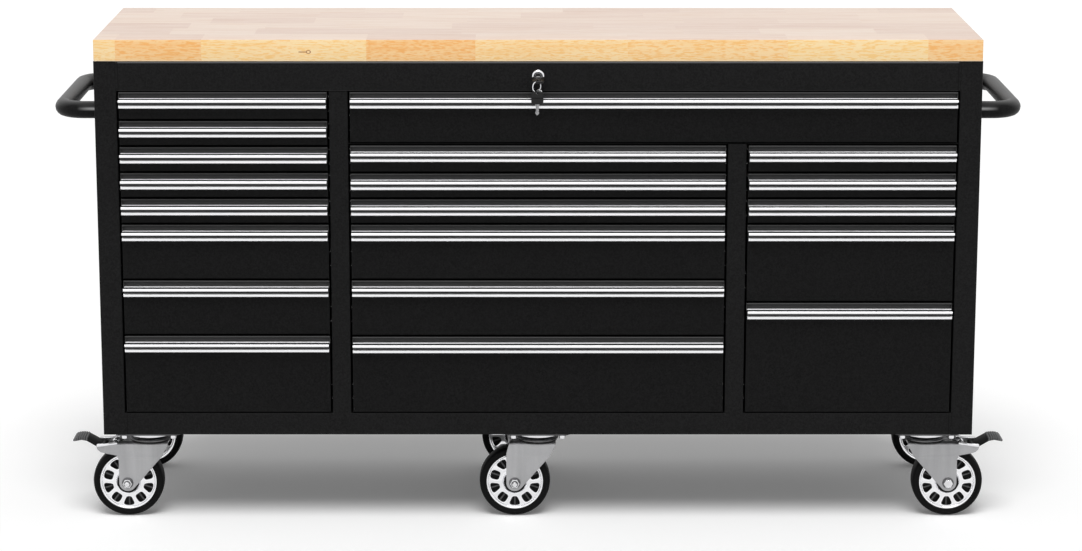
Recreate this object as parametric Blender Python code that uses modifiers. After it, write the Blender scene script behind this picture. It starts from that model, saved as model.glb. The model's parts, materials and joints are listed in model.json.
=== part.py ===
"""Rolling tool cart: twenty drawers in three columns under a wooden worktop, on six swivel casters.

Metres, +Z up, the front faces -Y. The origin lies on the floor under the middle of the whole cart.
"""

import math

import bmesh
import bpy
from mathutils import Matrix, Vector

COLLECTION_NAME = "tool_cart"

# Overall sizes
CABINET_WIDTH = 1.830
CABINET_DEPTH = 0.480
WORKTOP_HEIGHT = 1.030
WORKTOP_THICKNESS = 0.045
WORKTOP_SIDE_INSET = 0.001
WORKTOP_EDGE_RADIUS = 0.0015
CASTER_HEIGHT = 0.190

# Sheet metal and fits
SHEET = 0.0012
FOLD_RADIUS = 0.0020
RAIL_FOLD_RADIUS = 0.0035
FIT_GAP = 0.0003
MERGE_DISTANCE = 0.00001
WELD_LAP = 0.0006
CUT_OVERRUN = 0.002

# Cabinet frame
CORNER_POST_WIDTH = 0.046
INNER_POST_WIDTH = 0.039
SIDE_BAY_WIDTH = 0.4375
TOP_RAIL_HEIGHT = 0.062
BOTTOM_RAIL_HEIGHT = 0.047
RAIL_RETURN = 0.030
REAR_FLANGE_WIDTH = 0.030
REAR_FLANGE_HEIGHT = 0.040
SHELF_SETBACK = 0.004

# Drawer rows: the share of its stack that each row takes, from the top down
WIDE_ROW_SHARE = 0.161
LEFT_ROW_SHARES = (0.0880, 0.0797, 0.0797, 0.0797, 0.0797, 0.1735, 0.1735, 0.2462)
MIDDLE_ROW_SHARES = (0.1050, 0.0943, 0.0940, 0.2065, 0.2100, 0.2902)
RIGHT_ROW_SHARES = (0.1050, 0.0943, 0.0940, 0.2900, 0.4167)
ROW_GAP = 0.0032
WIDE_ROW_GAP = 0.0058
FACE_SIDE_GAP = 0.0042

# Drawer tray
DRAWER_SHEET = 0.0010
TRAY_REAR_CLEARANCE = 0.035
TRAY_BOTTOM_RAISE = 0.004
TRAY_TOP_DROP = 0.007
FACE_LIP_HEIGHT = 0.004
FACE_RECESS_DEPTH = 0.008
FACE_FOLD_RADIUS = 0.0016
FACE_TOP_RETURN = 0.020
FACE_BOTTOM_RETURN = 0.024
FACE_END_DEPTH = 0.032
FACE_END_RADIUS = 0.009

# Aluminium pull, measured from the face of its drawer and from its own lower edge
PULL_TOP_DROP = 0.0134
PULL_HEIGHT = 0.0194
PULL_BEAD_OUT = 0.014
PULL_BEAD_HEIGHT = 0.0073
PULL_GROOVE_OUT = 0.0105
PULL_GROOVE_TOP = 0.0115
PULL_LIP_OUT = 0.021
PULL_LIP_LOW = 0.0137
PULL_LIP_HIGH = 0.0189
PULL_LIP_THICKNESS = 0.003
PULL_CHANNEL_FLOOR = 0.0085
PULL_WALL = 0.0022
PULL_LEDGE_THICKNESS = 0.0018
PULL_CORNER_RADIUS = 0.0016
PULL_ROUNDED_CORNERS = (1, 2, 5, 6, 7)

# Ball-bearing slides, closed
SLIDE_SPACE = 0.013
SLIDE_HEIGHT = 0.032
SLIDE_START = 0.036
SLIDE_REAR_CLEARANCE = 0.040
SLIDE_CHANNEL_DEPTH = 0.0105
SLIDE_DRAWER_MEMBER_DEPTH = 0.0085
SLIDE_DRAWER_MEMBER_HEIGHT = 0.022
SLIDE_SHEET = 0.0012

# Side handles
HANDLE_TUBE_DIAMETER = 0.036
HANDLE_REACH = 0.095
HANDLE_LEG_INSET = 0.050
HANDLE_BEND_RADIUS = 0.050
HANDLE_HEIGHT_BELOW_TOP = 0.154

# Lock in the top rail
LOCK_HEIGHT_BELOW_TOP = 0.075
LOCK_HEAD_DIAMETER = 0.026
LOCK_HEAD_THICKNESS = 0.004
LOCK_HEAD_CROWN = 0.0015
LOCK_BARREL_DIAMETER = 0.019
LOCK_BARREL_LENGTH = 0.024
LOCK_PLUG_DIAMETER = 0.012
LOCK_CAM_LENGTH = 0.026
LOCK_CAM_WIDTH = 0.015
LOCK_CAM_THICKNESS = 0.0025
LOCK_ROD_INSET = 0.060
LOCK_ROD_HOLE_DIAMETER = 0.014
KEY_THICKNESS = 0.0022
KEY_SHANK_WIDTH = 0.007
KEY_SHANK_LENGTH = 0.004
KEY_BOW_DIAMETER = 0.026
KEY_BOW_THICKNESS = 0.005
KEY_BOW_HOLE_DIAMETER = 0.006

# Casters
CASTER_SIDE_INSET = 0.0925
CASTER_EDGE_INSET = 0.060
PLATE_LENGTH = 0.135
PLATE_WIDTH = 0.110
PLATE_THICKNESS = 0.004
PLATE_CORNER_RADIUS = 0.010
UPPER_RACE_DIAMETER = 0.094
UPPER_RACE_HEIGHT = 0.007
LOWER_RACE_HEIGHT = 0.014
LOWER_RACE_DIAMETER = 0.088
LOWER_RACE_NECK_DIAMETER = 0.078
KINGPIN_DIAMETER = 0.014
KINGPIN_NUT_WIDTH = 0.022
KINGPIN_NUT_HEIGHT = 0.007
AXLE_OFFSET = 0.049
AXLE_DIAMETER = 0.012
AXLE_NUT_WIDTH = 0.021
AXLE_NUT_HEIGHT = 0.008
FORK_SHEET = 0.004
FORK_EYE_RADIUS = 0.018
FORK_CROWN_BACK = 0.058
FORK_CROWN_FRONT = 0.038
FORK_KNEE_SETBACK = 0.013
FORK_KNEE_DROP = 0.032
FORK_SIDE_CLEARANCE = 0.0035
WHEEL_CROWN_CLEARANCE = 0.011
BRAKE_WING_REACH = 0.113
BRAKE_WING_HEIGHT = 0.022
BRAKE_WING_ROOT = 0.064
BRAKE_WING_ROOT_DROP = 0.034
BRAKE_WING_DROP = 0.005

# Wheel
TREAD_WIDTH = 0.045
TREAD_SHOULDER = 0.007
TYRE_DEPTH = 0.0145
RIM_WIDTH = 0.036
RIM_RING = 0.006
RIM_DISH = 0.003
HUB_DIAMETER = 0.043
HUB_FIT = 0.0005
SPOKE_COUNT = 10
WINDOW_HUB_GAP = 0.010
WINDOW_RIM_GAP = 0.0085
WINDOW_DEPTH = 0.010
WINDOW_INNER_SHARE = 0.52
WINDOW_OUTER_SHARE = 0.62
WHEEL_STEPS = 20

# Brake pedal on the wings of a front corner fork
PEDAL_PIVOT_REACH = 0.101
PEDAL_PIVOT_DROP = 0.015
PEDAL_PIN_DIAMETER = 0.008
PEDAL_BOSS_DIAMETER = 0.013
PEDAL_WIDTH = 0.044
PEDAL_THICKNESS = 0.005
PEDAL_HUMP_REACH = 0.140
PEDAL_HUMP_RISE = 0.011
PEDAL_TIP_REACH = 0.163
PEDAL_TIP_DROP = 0.004

# Steps of round stretches
FOLD_STEPS = 2
BEND_STEPS = 4
EYE_STEPS = 4
RACE_STEPS = 16
ROUND_STEPS = 16
BOLT_STEPS = 8
TUBE_RESOLUTION = 4
FLAT_ANGLE = 0.05
SHARP_ANGLE = 35.0

# Worked out from the sizes above
FRONT_REACH = LOCK_HEAD_THICKNESS + KEY_SHANK_LENGTH + KEY_BOW_DIAMETER
FRONT_Y = (FRONT_REACH - CABINET_DEPTH) / 2
BACK_Y = FRONT_Y + CABINET_DEPTH
TRAY_REACH = CABINET_DEPTH - TRAY_REAR_CLEARANCE
SLIDE_LENGTH = CABINET_DEPTH - SLIDE_START - SLIDE_REAR_CLEARANCE
HALF_WIDTH = CABINET_WIDTH / 2
CABINET_TOP = WORKTOP_HEIGHT - WORKTOP_THICKNESS - FIT_GAP
OPENING_TOP = CABINET_TOP - TOP_RAIL_HEIGHT
OPENING_BOTTOM = CASTER_HEIGHT + BOTTOM_RAIL_HEIGHT
OUTER_BAY_X = HALF_WIDTH - CORNER_POST_WIDTH
INNER_BAY_X = OUTER_BAY_X - SIDE_BAY_WIDTH
MIDDLE_BAY_X = INNER_BAY_X - INNER_POST_WIDTH
SHELF_Z = OPENING_TOP - WIDE_ROW_SHARE * (OPENING_TOP - OPENING_BOTTOM)
BACK_PANEL_REAR = BACK_Y - SHEET + WELD_LAP / 2
BACK_PANEL_FRONT = BACK_PANEL_REAR - SHEET
REAR_WELD_Y = BACK_PANEL_FRONT + WELD_LAP
PLATE_Z = CASTER_HEIGHT - PLATE_THICKNESS
RACE_SPLIT_Z = PLATE_Z - UPPER_RACE_HEIGHT
FORK_CROWN_TOP = RACE_SPLIT_Z - LOWER_RACE_HEIGHT
FORK_INNER_HALF = TREAD_WIDTH / 2 + FORK_SIDE_CLEARANCE
AXLE_Z = (FORK_CROWN_TOP - FORK_SHEET - WHEEL_CROWN_CLEARANCE) / 2
RIM_RADIUS = AXLE_Z - TYRE_DEPTH
WINDOW_INNER_RADIUS = HUB_DIAMETER / 2 + WINDOW_HUB_GAP
WINDOW_OUTER_RADIUS = RIM_RADIUS - WINDOW_RIM_GAP
PEDAL_PIVOT_Z = FORK_CROWN_TOP - PEDAL_PIVOT_DROP
LOCK_Z = WORKTOP_HEIGHT - LOCK_HEIGHT_BELOW_TOP
LOCK_HOLE_DIAMETER = LOCK_BARREL_DIAMETER + 2 * FIT_GAP


def clear_scene():
    for item in list(bpy.data.objects):
        bpy.data.objects.remove(item, do_unlink=True)


def make_collection(name):
    collection = bpy.data.collections.new(name)
    bpy.context.scene.collection.children.link(collection)
    return collection


def make_material(name, colour, roughness, metallic):
    material = bpy.data.materials.new(name)
    material.use_nodes = True
    shader = material.node_tree.nodes["Principled BSDF"]
    shader.inputs["Base Color"].default_value = (*colour, 1.0)
    shader.inputs["Roughness"].default_value = roughness
    shader.inputs["Metallic"].default_value = metallic
    return material


# Outlines

def arc_points(centre, radius, start, end, steps):
    """Points on a circle from one angle to another, both in degrees."""
    points = []
    for step in range(steps + 1):
        angle = math.radians(start + (end - start) * step / steps)
        points.append((centre[0] + radius * math.cos(angle), centre[1] + radius * math.sin(angle)))
    return points


def round_corners(points, radius, steps=FOLD_STEPS, closed=False, chosen=None):
    """The same line with an arc in place of each corner, or of the chosen ones."""
    rounded = []
    count = len(points)
    for index, point in enumerate(points):
        at_end = not closed and index in (0, count - 1)
        if at_end or (chosen is not None and index not in chosen):
            rounded.append(tuple(point))
            continue
        corner = Vector(point)
        before = Vector(points[index - 1]) - corner
        after = Vector(points[(index + 1) % count]) - corner
        half_angle = before.angle(after) / 2
        reach = min(radius / math.tan(half_angle), before.length / 2, after.length / 2)
        inner_radius = reach * math.tan(half_angle)
        middle = (before.normalized() + after.normalized()).normalized()
        centre = corner + middle * (inner_radius / math.sin(half_angle))
        start = corner + before.normalized() * reach - centre
        end = corner + after.normalized() * reach - centre
        sweep = start.angle(end)
        for step in range(steps + 1):
            share = step / steps
            blend = (start * math.sin((1 - share) * sweep) + end * math.sin(share * sweep)) / math.sin(sweep)
            rounded.append(tuple(centre + blend))
    return rounded


# Solids

def place(mesh_object, matrix):
    mesh_object.data.transform(matrix)
    return mesh_object


def new_piece(name, mesh):
    piece = bpy.data.objects.new(name, mesh)
    bpy.context.scene.collection.objects.link(piece)
    return piece


def evaluated(piece):
    """Turn an object with modifiers, or a curve, into a plain mesh object."""
    graph = bpy.context.evaluated_depsgraph_get()
    mesh = bpy.data.meshes.new_from_object(piece.evaluated_get(graph))
    mesh.transform(piece.matrix_world)
    result = new_piece(piece.name + "_solid", mesh)
    bpy.data.objects.remove(piece, do_unlink=True)
    return result


def weld_caps(piece):
    shape = bmesh.new()
    shape.from_mesh(piece.data)
    bmesh.ops.remove_doubles(shape, verts=shape.verts, dist=MERGE_DISTANCE)
    bmesh.ops.recalc_face_normals(shape, faces=shape.faces)
    shape.to_mesh(piece.data)
    shape.free()
    return piece


def box(name, low, high):
    """A box between two corners."""
    shape = bmesh.new()
    bmesh.ops.create_cube(shape, size=1.0)
    low, high = Vector(low), Vector(high)
    bmesh.ops.scale(shape, vec=high - low, verts=shape.verts)
    bmesh.ops.translate(shape, vec=(low + high) / 2, verts=shape.verts)
    mesh = bpy.data.meshes.new(name)
    shape.to_mesh(mesh)
    shape.free()
    return new_piece(name, mesh)


def cylinder(name, base, axis, diameter, length, steps=ROUND_STEPS, top_diameter=None):
    """A cylinder, cone or prism that starts at base and runs along axis."""
    end_radius = (diameter if top_diameter is None else top_diameter) / 2
    shape = bmesh.new()
    bmesh.ops.create_cone(
        shape, cap_ends=True, segments=steps, radius1=diameter / 2, radius2=end_radius, depth=length
    )
    bmesh.ops.translate(shape, vec=(0, 0, length / 2), verts=shape.verts)
    turn = Vector((0, 0, 1)).rotation_difference(Vector(axis)).to_matrix().to_4x4()
    shape.transform(Matrix.Translation(base) @ turn)
    mesh = bpy.data.meshes.new(name)
    shape.to_mesh(mesh)
    shape.free()
    return new_piece(name, mesh)


def hexagon(name, base, axis, width, length):
    """A hexagonal nut or head, measured across its flats."""
    return cylinder(name, base, axis, width / math.cos(math.pi / 6), length, steps=6)


def bore_diameter(pin_diameter, steps):
    """The bore in which a pin of the same number of sides turns with the fit gap at its corners."""
    return (pin_diameter + 2 * FIT_GAP) / math.cos(math.pi / steps)


def axis_frame(axis):
    """The matrix that stands an outline on a plane across the given axis."""
    frames = {
        "X": Matrix(((0, 0, 1, 0), (1, 0, 0, 0), (0, 1, 0, 0), (0, 0, 0, 1))),
        "Y": Matrix(((1, 0, 0, 0), (0, 0, 1, 0), (0, 1, 0, 0), (0, 0, 0, 1))),
        "Z": Matrix.Identity(4),
    }
    return frames[axis]


def plate(name, outline, axis, start, end):
    """A flat outline drawn across an axis and given thickness from start to end along it."""
    curve = bpy.data.curves.new(name, "CURVE")
    curve.dimensions = "2D"
    curve.fill_mode = "BOTH"
    curve.extrude = (end - start) / 2
    line = curve.splines.new("POLY")
    line.points.add(len(outline) - 1)
    for point, place_2d in zip(line.points, outline):
        point.co = (*place_2d, 0.0, 1.0)
    line.use_cyclic_u = True
    piece = new_piece(name, curve)
    bpy.context.view_layer.update()
    solid = evaluated(piece)
    place(solid, axis_frame(axis) @ Matrix.Translation((0, 0, (start + end) / 2)))
    return weld_caps(solid)


def folded_sheet(name, line, axis, start, end, thickness, inward):
    """An open line of folds swept along an axis, then thickened to one side."""
    shape = bmesh.new()
    rows = []
    frame = axis_frame(axis)
    for u, v in line:
        rows.append([shape.verts.new(frame @ Vector((u, v, w))) for w in (start, end)])
    for first, second in zip(rows, rows[1:]):
        shape.faces.new((first[0], second[0], second[1], first[1]))
    mesh = bpy.data.meshes.new(name)
    shape.to_mesh(mesh)
    shape.free()
    piece = new_piece(name, mesh)
    solidify = piece.modifiers.new("thickness", "SOLIDIFY")
    solidify.thickness = thickness
    solidify.offset = inward
    solidify.use_even_offset = True
    bpy.context.view_layer.update()
    return weld_caps(evaluated(piece))


def turned(name, profile, axis_matrix, steps=ROUND_STEPS):
    """A profile of (radius, height) pairs, given from the top down its outer side, turned about Z."""
    mesh = bpy.data.meshes.new(name)
    edges = [(index, index + 1) for index in range(len(profile) - 1)]
    mesh.from_pydata([(radius, 0.0, height) for radius, height in profile], edges, [])
    piece = new_piece(name, mesh)
    screw = piece.modifiers.new("turn", "SCREW")
    screw.steps = steps
    screw.render_steps = steps
    screw.use_merge_vertices = True
    screw.merge_threshold = MERGE_DISTANCE
    bpy.context.view_layer.update()
    solid = weld_caps(evaluated(piece))
    return place(solid, axis_matrix)


def combine(name, pieces, operation="UNION"):
    """Join the pieces, or cut all the others from the first."""
    first = pieces[0]
    helpers = bpy.data.collections.new(name + "_operands")
    for piece in pieces[1:]:
        helpers.objects.link(piece)
    boolean = first.modifiers.new("combine", "BOOLEAN")
    boolean.operand_type = "COLLECTION"
    boolean.collection = helpers
    boolean.operation = operation
    boolean.solver = "EXACT"
    bpy.context.view_layer.update()
    decimate = first.modifiers.new("flat_faces", "DECIMATE")
    decimate.decimate_type = "DISSOLVE"
    decimate.angle_limit = math.radians(FLAT_ANGLE)
    bpy.context.view_layer.update()
    result = evaluated(first)
    for piece in pieces[1:]:
        bpy.data.objects.remove(piece, do_unlink=True)
    bpy.data.collections.remove(helpers)
    result.name = name
    result.data.name = name
    return result


def cut(name, body, cutters):
    return combine(name, [body, *cutters], operation="DIFFERENCE")


def shade_round(mesh):
    mesh.shade_smooth()
    mesh.set_sharp_from_angle(angle=math.radians(SHARP_ANGLE))


def finish_node(name, piece, material, collection, origin, parent=None, smooth=True):
    """Name the solid, give it its material and put its origin on its joint's axis or reference point."""
    mesh = piece.data
    mesh.name = name
    mesh.transform(Matrix.Translation(-Vector(origin)))
    mesh.materials.clear()
    mesh.materials.append(material)
    if smooth:
        shade_round(mesh)
    bpy.data.objects.remove(piece, do_unlink=True)
    return add_node(name, mesh, collection, origin, parent)


def add_node(name, mesh, collection, origin, parent=None, turn=0.0):
    node = bpy.data.objects.new(name, mesh)
    collection.objects.link(node)
    node.location = origin
    node.rotation_euler = (0, 0, turn)
    if parent is not None:
        bpy.context.view_layer.update()
        node.parent = parent
        node.matrix_parent_inverse = parent.matrix_world.inverted()
    return node


# Cabinet

def side_panel(side):
    """Inner skin, corner post, outer skin and rear flange folded from one sheet."""
    post_x = side * OUTER_BAY_X
    skin_x = side * HALF_WIDTH
    line = [
        (post_x, REAR_WELD_Y),
        (post_x, FRONT_Y),
        (skin_x, FRONT_Y),
        (skin_x, BACK_Y),
        (skin_x - side * REAR_FLANGE_WIDTH, BACK_Y),
    ]
    line = round_corners(line, FOLD_RADIUS, chosen=(1, 2, 3))
    name = "side_panel_left" if side < 0 else "side_panel_right"
    return folded_sheet(name, line, "Z", CASTER_HEIGHT, CABINET_TOP, SHEET, -side)


def rail_span():
    """The rails run between the corner posts and into their jambs."""
    return -OUTER_BAY_X - WELD_LAP, OUTER_BAY_X + WELD_LAP


def top_rail_and_deck():
    line = [
        (FRONT_Y + RAIL_RETURN, OPENING_TOP),
        (FRONT_Y, OPENING_TOP),
        (FRONT_Y, CABINET_TOP),
        (BACK_PANEL_FRONT + WELD_LAP / 2, CABINET_TOP),
        (BACK_PANEL_FRONT + WELD_LAP / 2, CABINET_TOP - REAR_FLANGE_HEIGHT),
    ]
    line = round_corners(line, RAIL_FOLD_RADIUS, chosen=(2, 3))
    line = round_corners(line, FOLD_RADIUS, chosen=(1,))
    return folded_sheet("top_rail", line, "X", *rail_span(), SHEET, 1.0)


def bottom_rail_and_pan():
    line = [
        (FRONT_Y + RAIL_RETURN, OPENING_BOTTOM),
        (FRONT_Y, OPENING_BOTTOM),
        (FRONT_Y, CASTER_HEIGHT),
        (BACK_PANEL_FRONT + WELD_LAP / 2, CASTER_HEIGHT),
        (BACK_PANEL_FRONT + WELD_LAP / 2, CASTER_HEIGHT + REAR_FLANGE_HEIGHT),
    ]
    return folded_sheet("bottom_rail", round_corners(line, FOLD_RADIUS), "X", *rail_span(), SHEET, -1.0)


def pan_end(side):
    """The strip that closes each hollow side, just above its lower edge."""
    inner, outer = sorted((side * (OUTER_BAY_X + WELD_LAP), side * (HALF_WIDTH - WELD_LAP)))
    low = (inner, FRONT_Y + WELD_LAP, CASTER_HEIGHT + 2 * SHEET)
    high = (outer, BACK_Y - WELD_LAP, CASTER_HEIGHT + 3 * SHEET)
    return box("pan_end", low, high)


def back_panel():
    half_width = HALF_WIDTH - REAR_FLANGE_WIDTH / 2
    low = (-half_width, BACK_PANEL_FRONT, CASTER_HEIGHT + WELD_LAP)
    high = (half_width, BACK_PANEL_REAR, CABINET_TOP - WELD_LAP)
    return box("back_panel", low, high)


def divider(centre_x, top):
    """A front post whose two side skins run back to the rear of the cabinet."""
    half = INNER_POST_WIDTH / 2
    line = [
        (centre_x - half, REAR_WELD_Y),
        (centre_x - half, FRONT_Y),
        (centre_x + half, FRONT_Y),
        (centre_x + half, REAR_WELD_Y),
    ]
    line = round_corners(line, FOLD_RADIUS)
    return folded_sheet("divider", line, "Z", OPENING_BOTTOM - WELD_LAP, top, SHEET, -1.0)


def shelf():
    """The thin shelf under the wide drawer, set back behind the drawer faces."""
    low = (-MIDDLE_BAY_X - WELD_LAP, FRONT_Y + SHELF_SETBACK, SHELF_Z - SHEET / 2)
    high = (OUTER_BAY_X + WELD_LAP, REAR_WELD_Y, SHELF_Z + SHEET / 2)
    return box("shelf", low, high)


def slide_channel(wall_x, inward, centre_z):
    """The cabinet member of a slide: a channel open towards its drawer."""
    half = SLIDE_HEIGHT / 2
    root_x = wall_x - inward * WELD_LAP
    edge_x = wall_x + inward * SLIDE_CHANNEL_DEPTH
    line = [
        (edge_x, centre_z + half),
        (root_x, centre_z + half),
        (root_x, centre_z - half),
        (edge_x, centre_z - half),
    ]
    start = FRONT_Y + SLIDE_START
    end = start + SLIDE_LENGTH
    return folded_sheet("slide_channel", line, "Y", start, end, SLIDE_SHEET, inward)


def caster_plate(x, y):
    half_length, half_width = PLATE_LENGTH / 2, PLATE_WIDTH / 2
    outline = [
        (x - half_length, y - half_width),
        (x + half_length, y - half_width),
        (x + half_length, y + half_width),
        (x - half_length, y + half_width),
    ]
    outline = round_corners(outline, PLATE_CORNER_RADIUS, steps=1, closed=True)
    return plate("caster_plate", outline, "Z", PLATE_Z, CASTER_HEIGHT + WELD_LAP)


def upper_race(x, y):
    return cylinder(
        "upper_race", (x, y, RACE_SPLIT_Z), (0, 0, 1), UPPER_RACE_DIAMETER, UPPER_RACE_HEIGHT + WELD_LAP,
        steps=RACE_STEPS,
    )


def kingpin_hole(x, y):
    length = CASTER_HEIGHT + SHEET - RACE_SPLIT_Z + 2 * CUT_OVERRUN
    return cylinder(
        "kingpin_hole", (x, y, RACE_SPLIT_Z - CUT_OVERRUN), (0, 0, 1),
        bore_diameter(KINGPIN_DIAMETER, BOLT_STEPS), length, steps=BOLT_STEPS,
    )


def lock_hole():
    return cylinder(
        "lock_hole", (0, FRONT_Y - CUT_OVERRUN, LOCK_Z), (0, 1, 0), LOCK_HOLE_DIAMETER,
        SHEET + 2 * CUT_OVERRUN,
    )


def lock_rod_hole(x):
    """The hole in the shelf that a lock rod passes through on its way down the right divider."""
    base = (x, FRONT_Y + LOCK_ROD_INSET, SHELF_Z - SHEET - CUT_OVERRUN)
    length = 2 * (SHEET + CUT_OVERRUN)
    return cylinder("lock_rod_hole", base, (0, 0, 1), LOCK_ROD_HOLE_DIAMETER, length, steps=BOLT_STEPS)


def caster_places():
    """Name, place and heading of each caster; the heading is the side that its wheel trails to."""
    side_x = HALF_WIDTH - CASTER_SIDE_INSET
    front = FRONT_Y + CASTER_EDGE_INSET
    rear = BACK_Y - CASTER_EDGE_INSET
    return [
        ("front_left", -side_x, front, -1, True),
        ("front_centre", 0.0, front, -1, False),
        ("front_right", side_x, front, 1, True),
        ("rear_left", -side_x, rear, -1, False),
        ("rear_centre", 0.0, rear, -1, False),
        ("rear_right", side_x, rear, 1, False),
    ]


# Drawer rows

def stack(shares, top, bottom):
    """Split a height by shares, from the top down, into (low, high) rows."""
    total = sum(shares)
    rows = []
    high = top
    for share in shares:
        low = high - share / total * (top - bottom)
        rows.append((low, high))
        high = low
    return rows


def drawer_rows():
    """Name, left and right edge of the bay, and the lower and upper edge of the face of each drawer."""
    half_gap = ROW_GAP / 2
    rows = []
    low, high = SHELF_Z + WIDE_ROW_GAP / 2, OPENING_TOP - half_gap
    rows.append(("drawer_wide", -MIDDLE_BAY_X, OUTER_BAY_X, low, high))
    columns = (
        ("left", -OUTER_BAY_X, -INNER_BAY_X, OPENING_TOP, LEFT_ROW_SHARES),
        ("middle", -MIDDLE_BAY_X, MIDDLE_BAY_X, SHELF_Z, MIDDLE_ROW_SHARES),
        ("right", INNER_BAY_X, OUTER_BAY_X, SHELF_Z, RIGHT_ROW_SHARES),
    )
    for column, x_low, x_high, top, shares in columns:
        for number, (low, high) in enumerate(stack(shares, top, OPENING_BOTTOM), start=1):
            under_shelf = number == 1 and column != "left"
            top_gap = WIDE_ROW_GAP / 2 if under_shelf else half_gap
            rows.append((f"drawer_{column}_{number}", x_low, x_high, low + half_gap, high - top_gap))
    return rows


def slide_centre(face_low, face_high):
    """Slides sit in the middle of a shallow tray and low on a deep one."""
    low = face_low + TRAY_BOTTOM_RAISE
    high = face_high - TRAY_TOP_DROP
    return min((low + high) / 2, low + SLIDE_HEIGHT)


def cabinet_shell():
    pieces = [side_panel(-1), side_panel(1), top_rail_and_deck(), bottom_rail_and_pan()]
    pieces += [pan_end(-1), pan_end(1), back_panel(), shelf()]
    post_x = (INNER_BAY_X + MIDDLE_BAY_X) / 2
    pieces += [divider(-post_x, OPENING_TOP + WELD_LAP), divider(post_x, SHELF_Z)]
    for _name, x_low, x_high, low, high in drawer_rows():
        centre_z = slide_centre(low, high)
        pieces.append(slide_channel(x_low, 1, centre_z))
        pieces.append(slide_channel(x_high, -1, centre_z))
    holes = [lock_hole(), lock_rod_hole(post_x)]
    for _name, x, y, _heading, _brake in caster_places():
        pieces.append(caster_plate(x, y))
        pieces.append(upper_race(x, y))
        holes.append(kingpin_hole(x, y))
    return cut("cabinet_shell", combine("cabinet_shell", pieces), holes)


# Drawers

def face_line(height):
    """Section through a drawer front: bottom return, face, step under the pull, recess, top lip."""
    step = height - PULL_TOP_DROP - PULL_LEDGE_THICKNESS - FIT_GAP
    radius = FACE_FOLD_RADIUS
    return [
        (FACE_BOTTOM_RETURN, 0),
        *arc_points((radius, radius), radius, 270, 180, 1),
        (0, step),
        (FACE_RECESS_DEPTH, step),
        (FACE_RECESS_DEPTH, height - FACE_LIP_HEIGHT),
        (0, height - FACE_LIP_HEIGHT),
        *arc_points((radius, height - radius), radius, 180, 90, 1),
        (FACE_TOP_RETURN, height),
    ]


def face_end(x, height):
    """The folded end of a drawer front, with its rear corners cut back."""
    rear = FACE_END_DEPTH - FACE_END_RADIUS
    outline = [
        (0, 0),
        *arc_points((rear, FACE_END_RADIUS), FACE_END_RADIUS, -90, 0, 1),
        *arc_points((rear, height - FACE_END_RADIUS), FACE_END_RADIUS, 0, 90, 1),
        (0, height),
    ]
    start, end = sorted((x, x - math.copysign(DRAWER_SHEET, x)))
    return plate("face_end", outline, "X", start, end)


def tray_pan(width, height):
    """Bottom, sides, back and inner front of the drawer box, open at the top."""
    low = Vector((-width / 2, FACE_RECESS_DEPTH, TRAY_BOTTOM_RAISE))
    high = Vector((width / 2, TRAY_REACH, height - TRAY_TOP_DROP))
    pan = box("tray_pan", low, high)
    shape = bmesh.new()
    shape.from_mesh(pan.data)
    lids = [max(shape.faces, key=lambda face: face.normal.z)]
    bmesh.ops.delete(shape, geom=lids, context="FACES_ONLY")
    shape.to_mesh(pan.data)
    shape.free()
    solidify = pan.modifiers.new("thickness", "SOLIDIFY")
    solidify.thickness = DRAWER_SHEET
    solidify.offset = -1.0
    solidify.use_even_offset = True
    bpy.context.view_layer.update()
    return weld_caps(evaluated(pan))


def drawer_member(side, tray_width, centre_z):
    """The drawer member of a slide, fixed to the side of the tray."""
    root = side * (tray_width / 2 - WELD_LAP)
    edge = side * (tray_width / 2 + SLIDE_DRAWER_MEMBER_DEPTH)
    inner, outer = sorted((root, edge))
    half = SLIDE_DRAWER_MEMBER_HEIGHT / 2
    low = (inner, SLIDE_START, centre_z - half)
    high = (outer, SLIDE_START + SLIDE_LENGTH, centre_z + half)
    return box("drawer_member", low, high)


def drawer_tray_mesh(bay_width, height, slide_z):
    face_width = bay_width - 2 * FACE_SIDE_GAP
    tray_width = bay_width - 2 * SLIDE_SPACE
    half_face = face_width / 2
    front = folded_sheet(
        "drawer_front", face_line(height), "X",
        -half_face + DRAWER_SHEET / 2, half_face - DRAWER_SHEET / 2, DRAWER_SHEET, 1.0,
    )
    pieces = [front, face_end(-half_face, height), face_end(half_face, height), tray_pan(tray_width, height)]
    pieces += [drawer_member(-1, tray_width, slide_z), drawer_member(1, tray_width, slide_z)]
    return combine("drawer_tray", pieces)


def pull_section():
    """Section of the aluminium pull: (out of the face, up from its lower edge)."""
    ledge_low = PULL_HEIGHT - PULL_LEDGE_THICKNESS
    ledge_end = FIT_GAP - FACE_RECESS_DEPTH
    lip_back = PULL_LIP_OUT - PULL_LIP_THICKNESS
    outline = [
        (FIT_GAP, 0),
        (PULL_BEAD_OUT, 0),
        (PULL_BEAD_OUT, PULL_BEAD_HEIGHT),
        (PULL_GROOVE_OUT, PULL_BEAD_HEIGHT),
        (PULL_GROOVE_OUT, PULL_GROOVE_TOP),
        (PULL_LIP_OUT, PULL_LIP_LOW),
        (PULL_LIP_OUT, PULL_LIP_HIGH),
        (lip_back, PULL_LIP_HIGH),
        (PULL_GROOVE_OUT, PULL_GROOVE_TOP + PULL_WALL),
        (PULL_GROOVE_OUT - PULL_WALL, PULL_GROOVE_TOP),
        (PULL_GROOVE_OUT - PULL_WALL, PULL_CHANNEL_FLOOR),
        (FIT_GAP + PULL_WALL, PULL_CHANNEL_FLOOR),
        (FIT_GAP + PULL_WALL, PULL_HEIGHT),
        (ledge_end, PULL_HEIGHT),
        (ledge_end, ledge_low),
        (FIT_GAP, ledge_low),
    ]
    return outline


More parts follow.
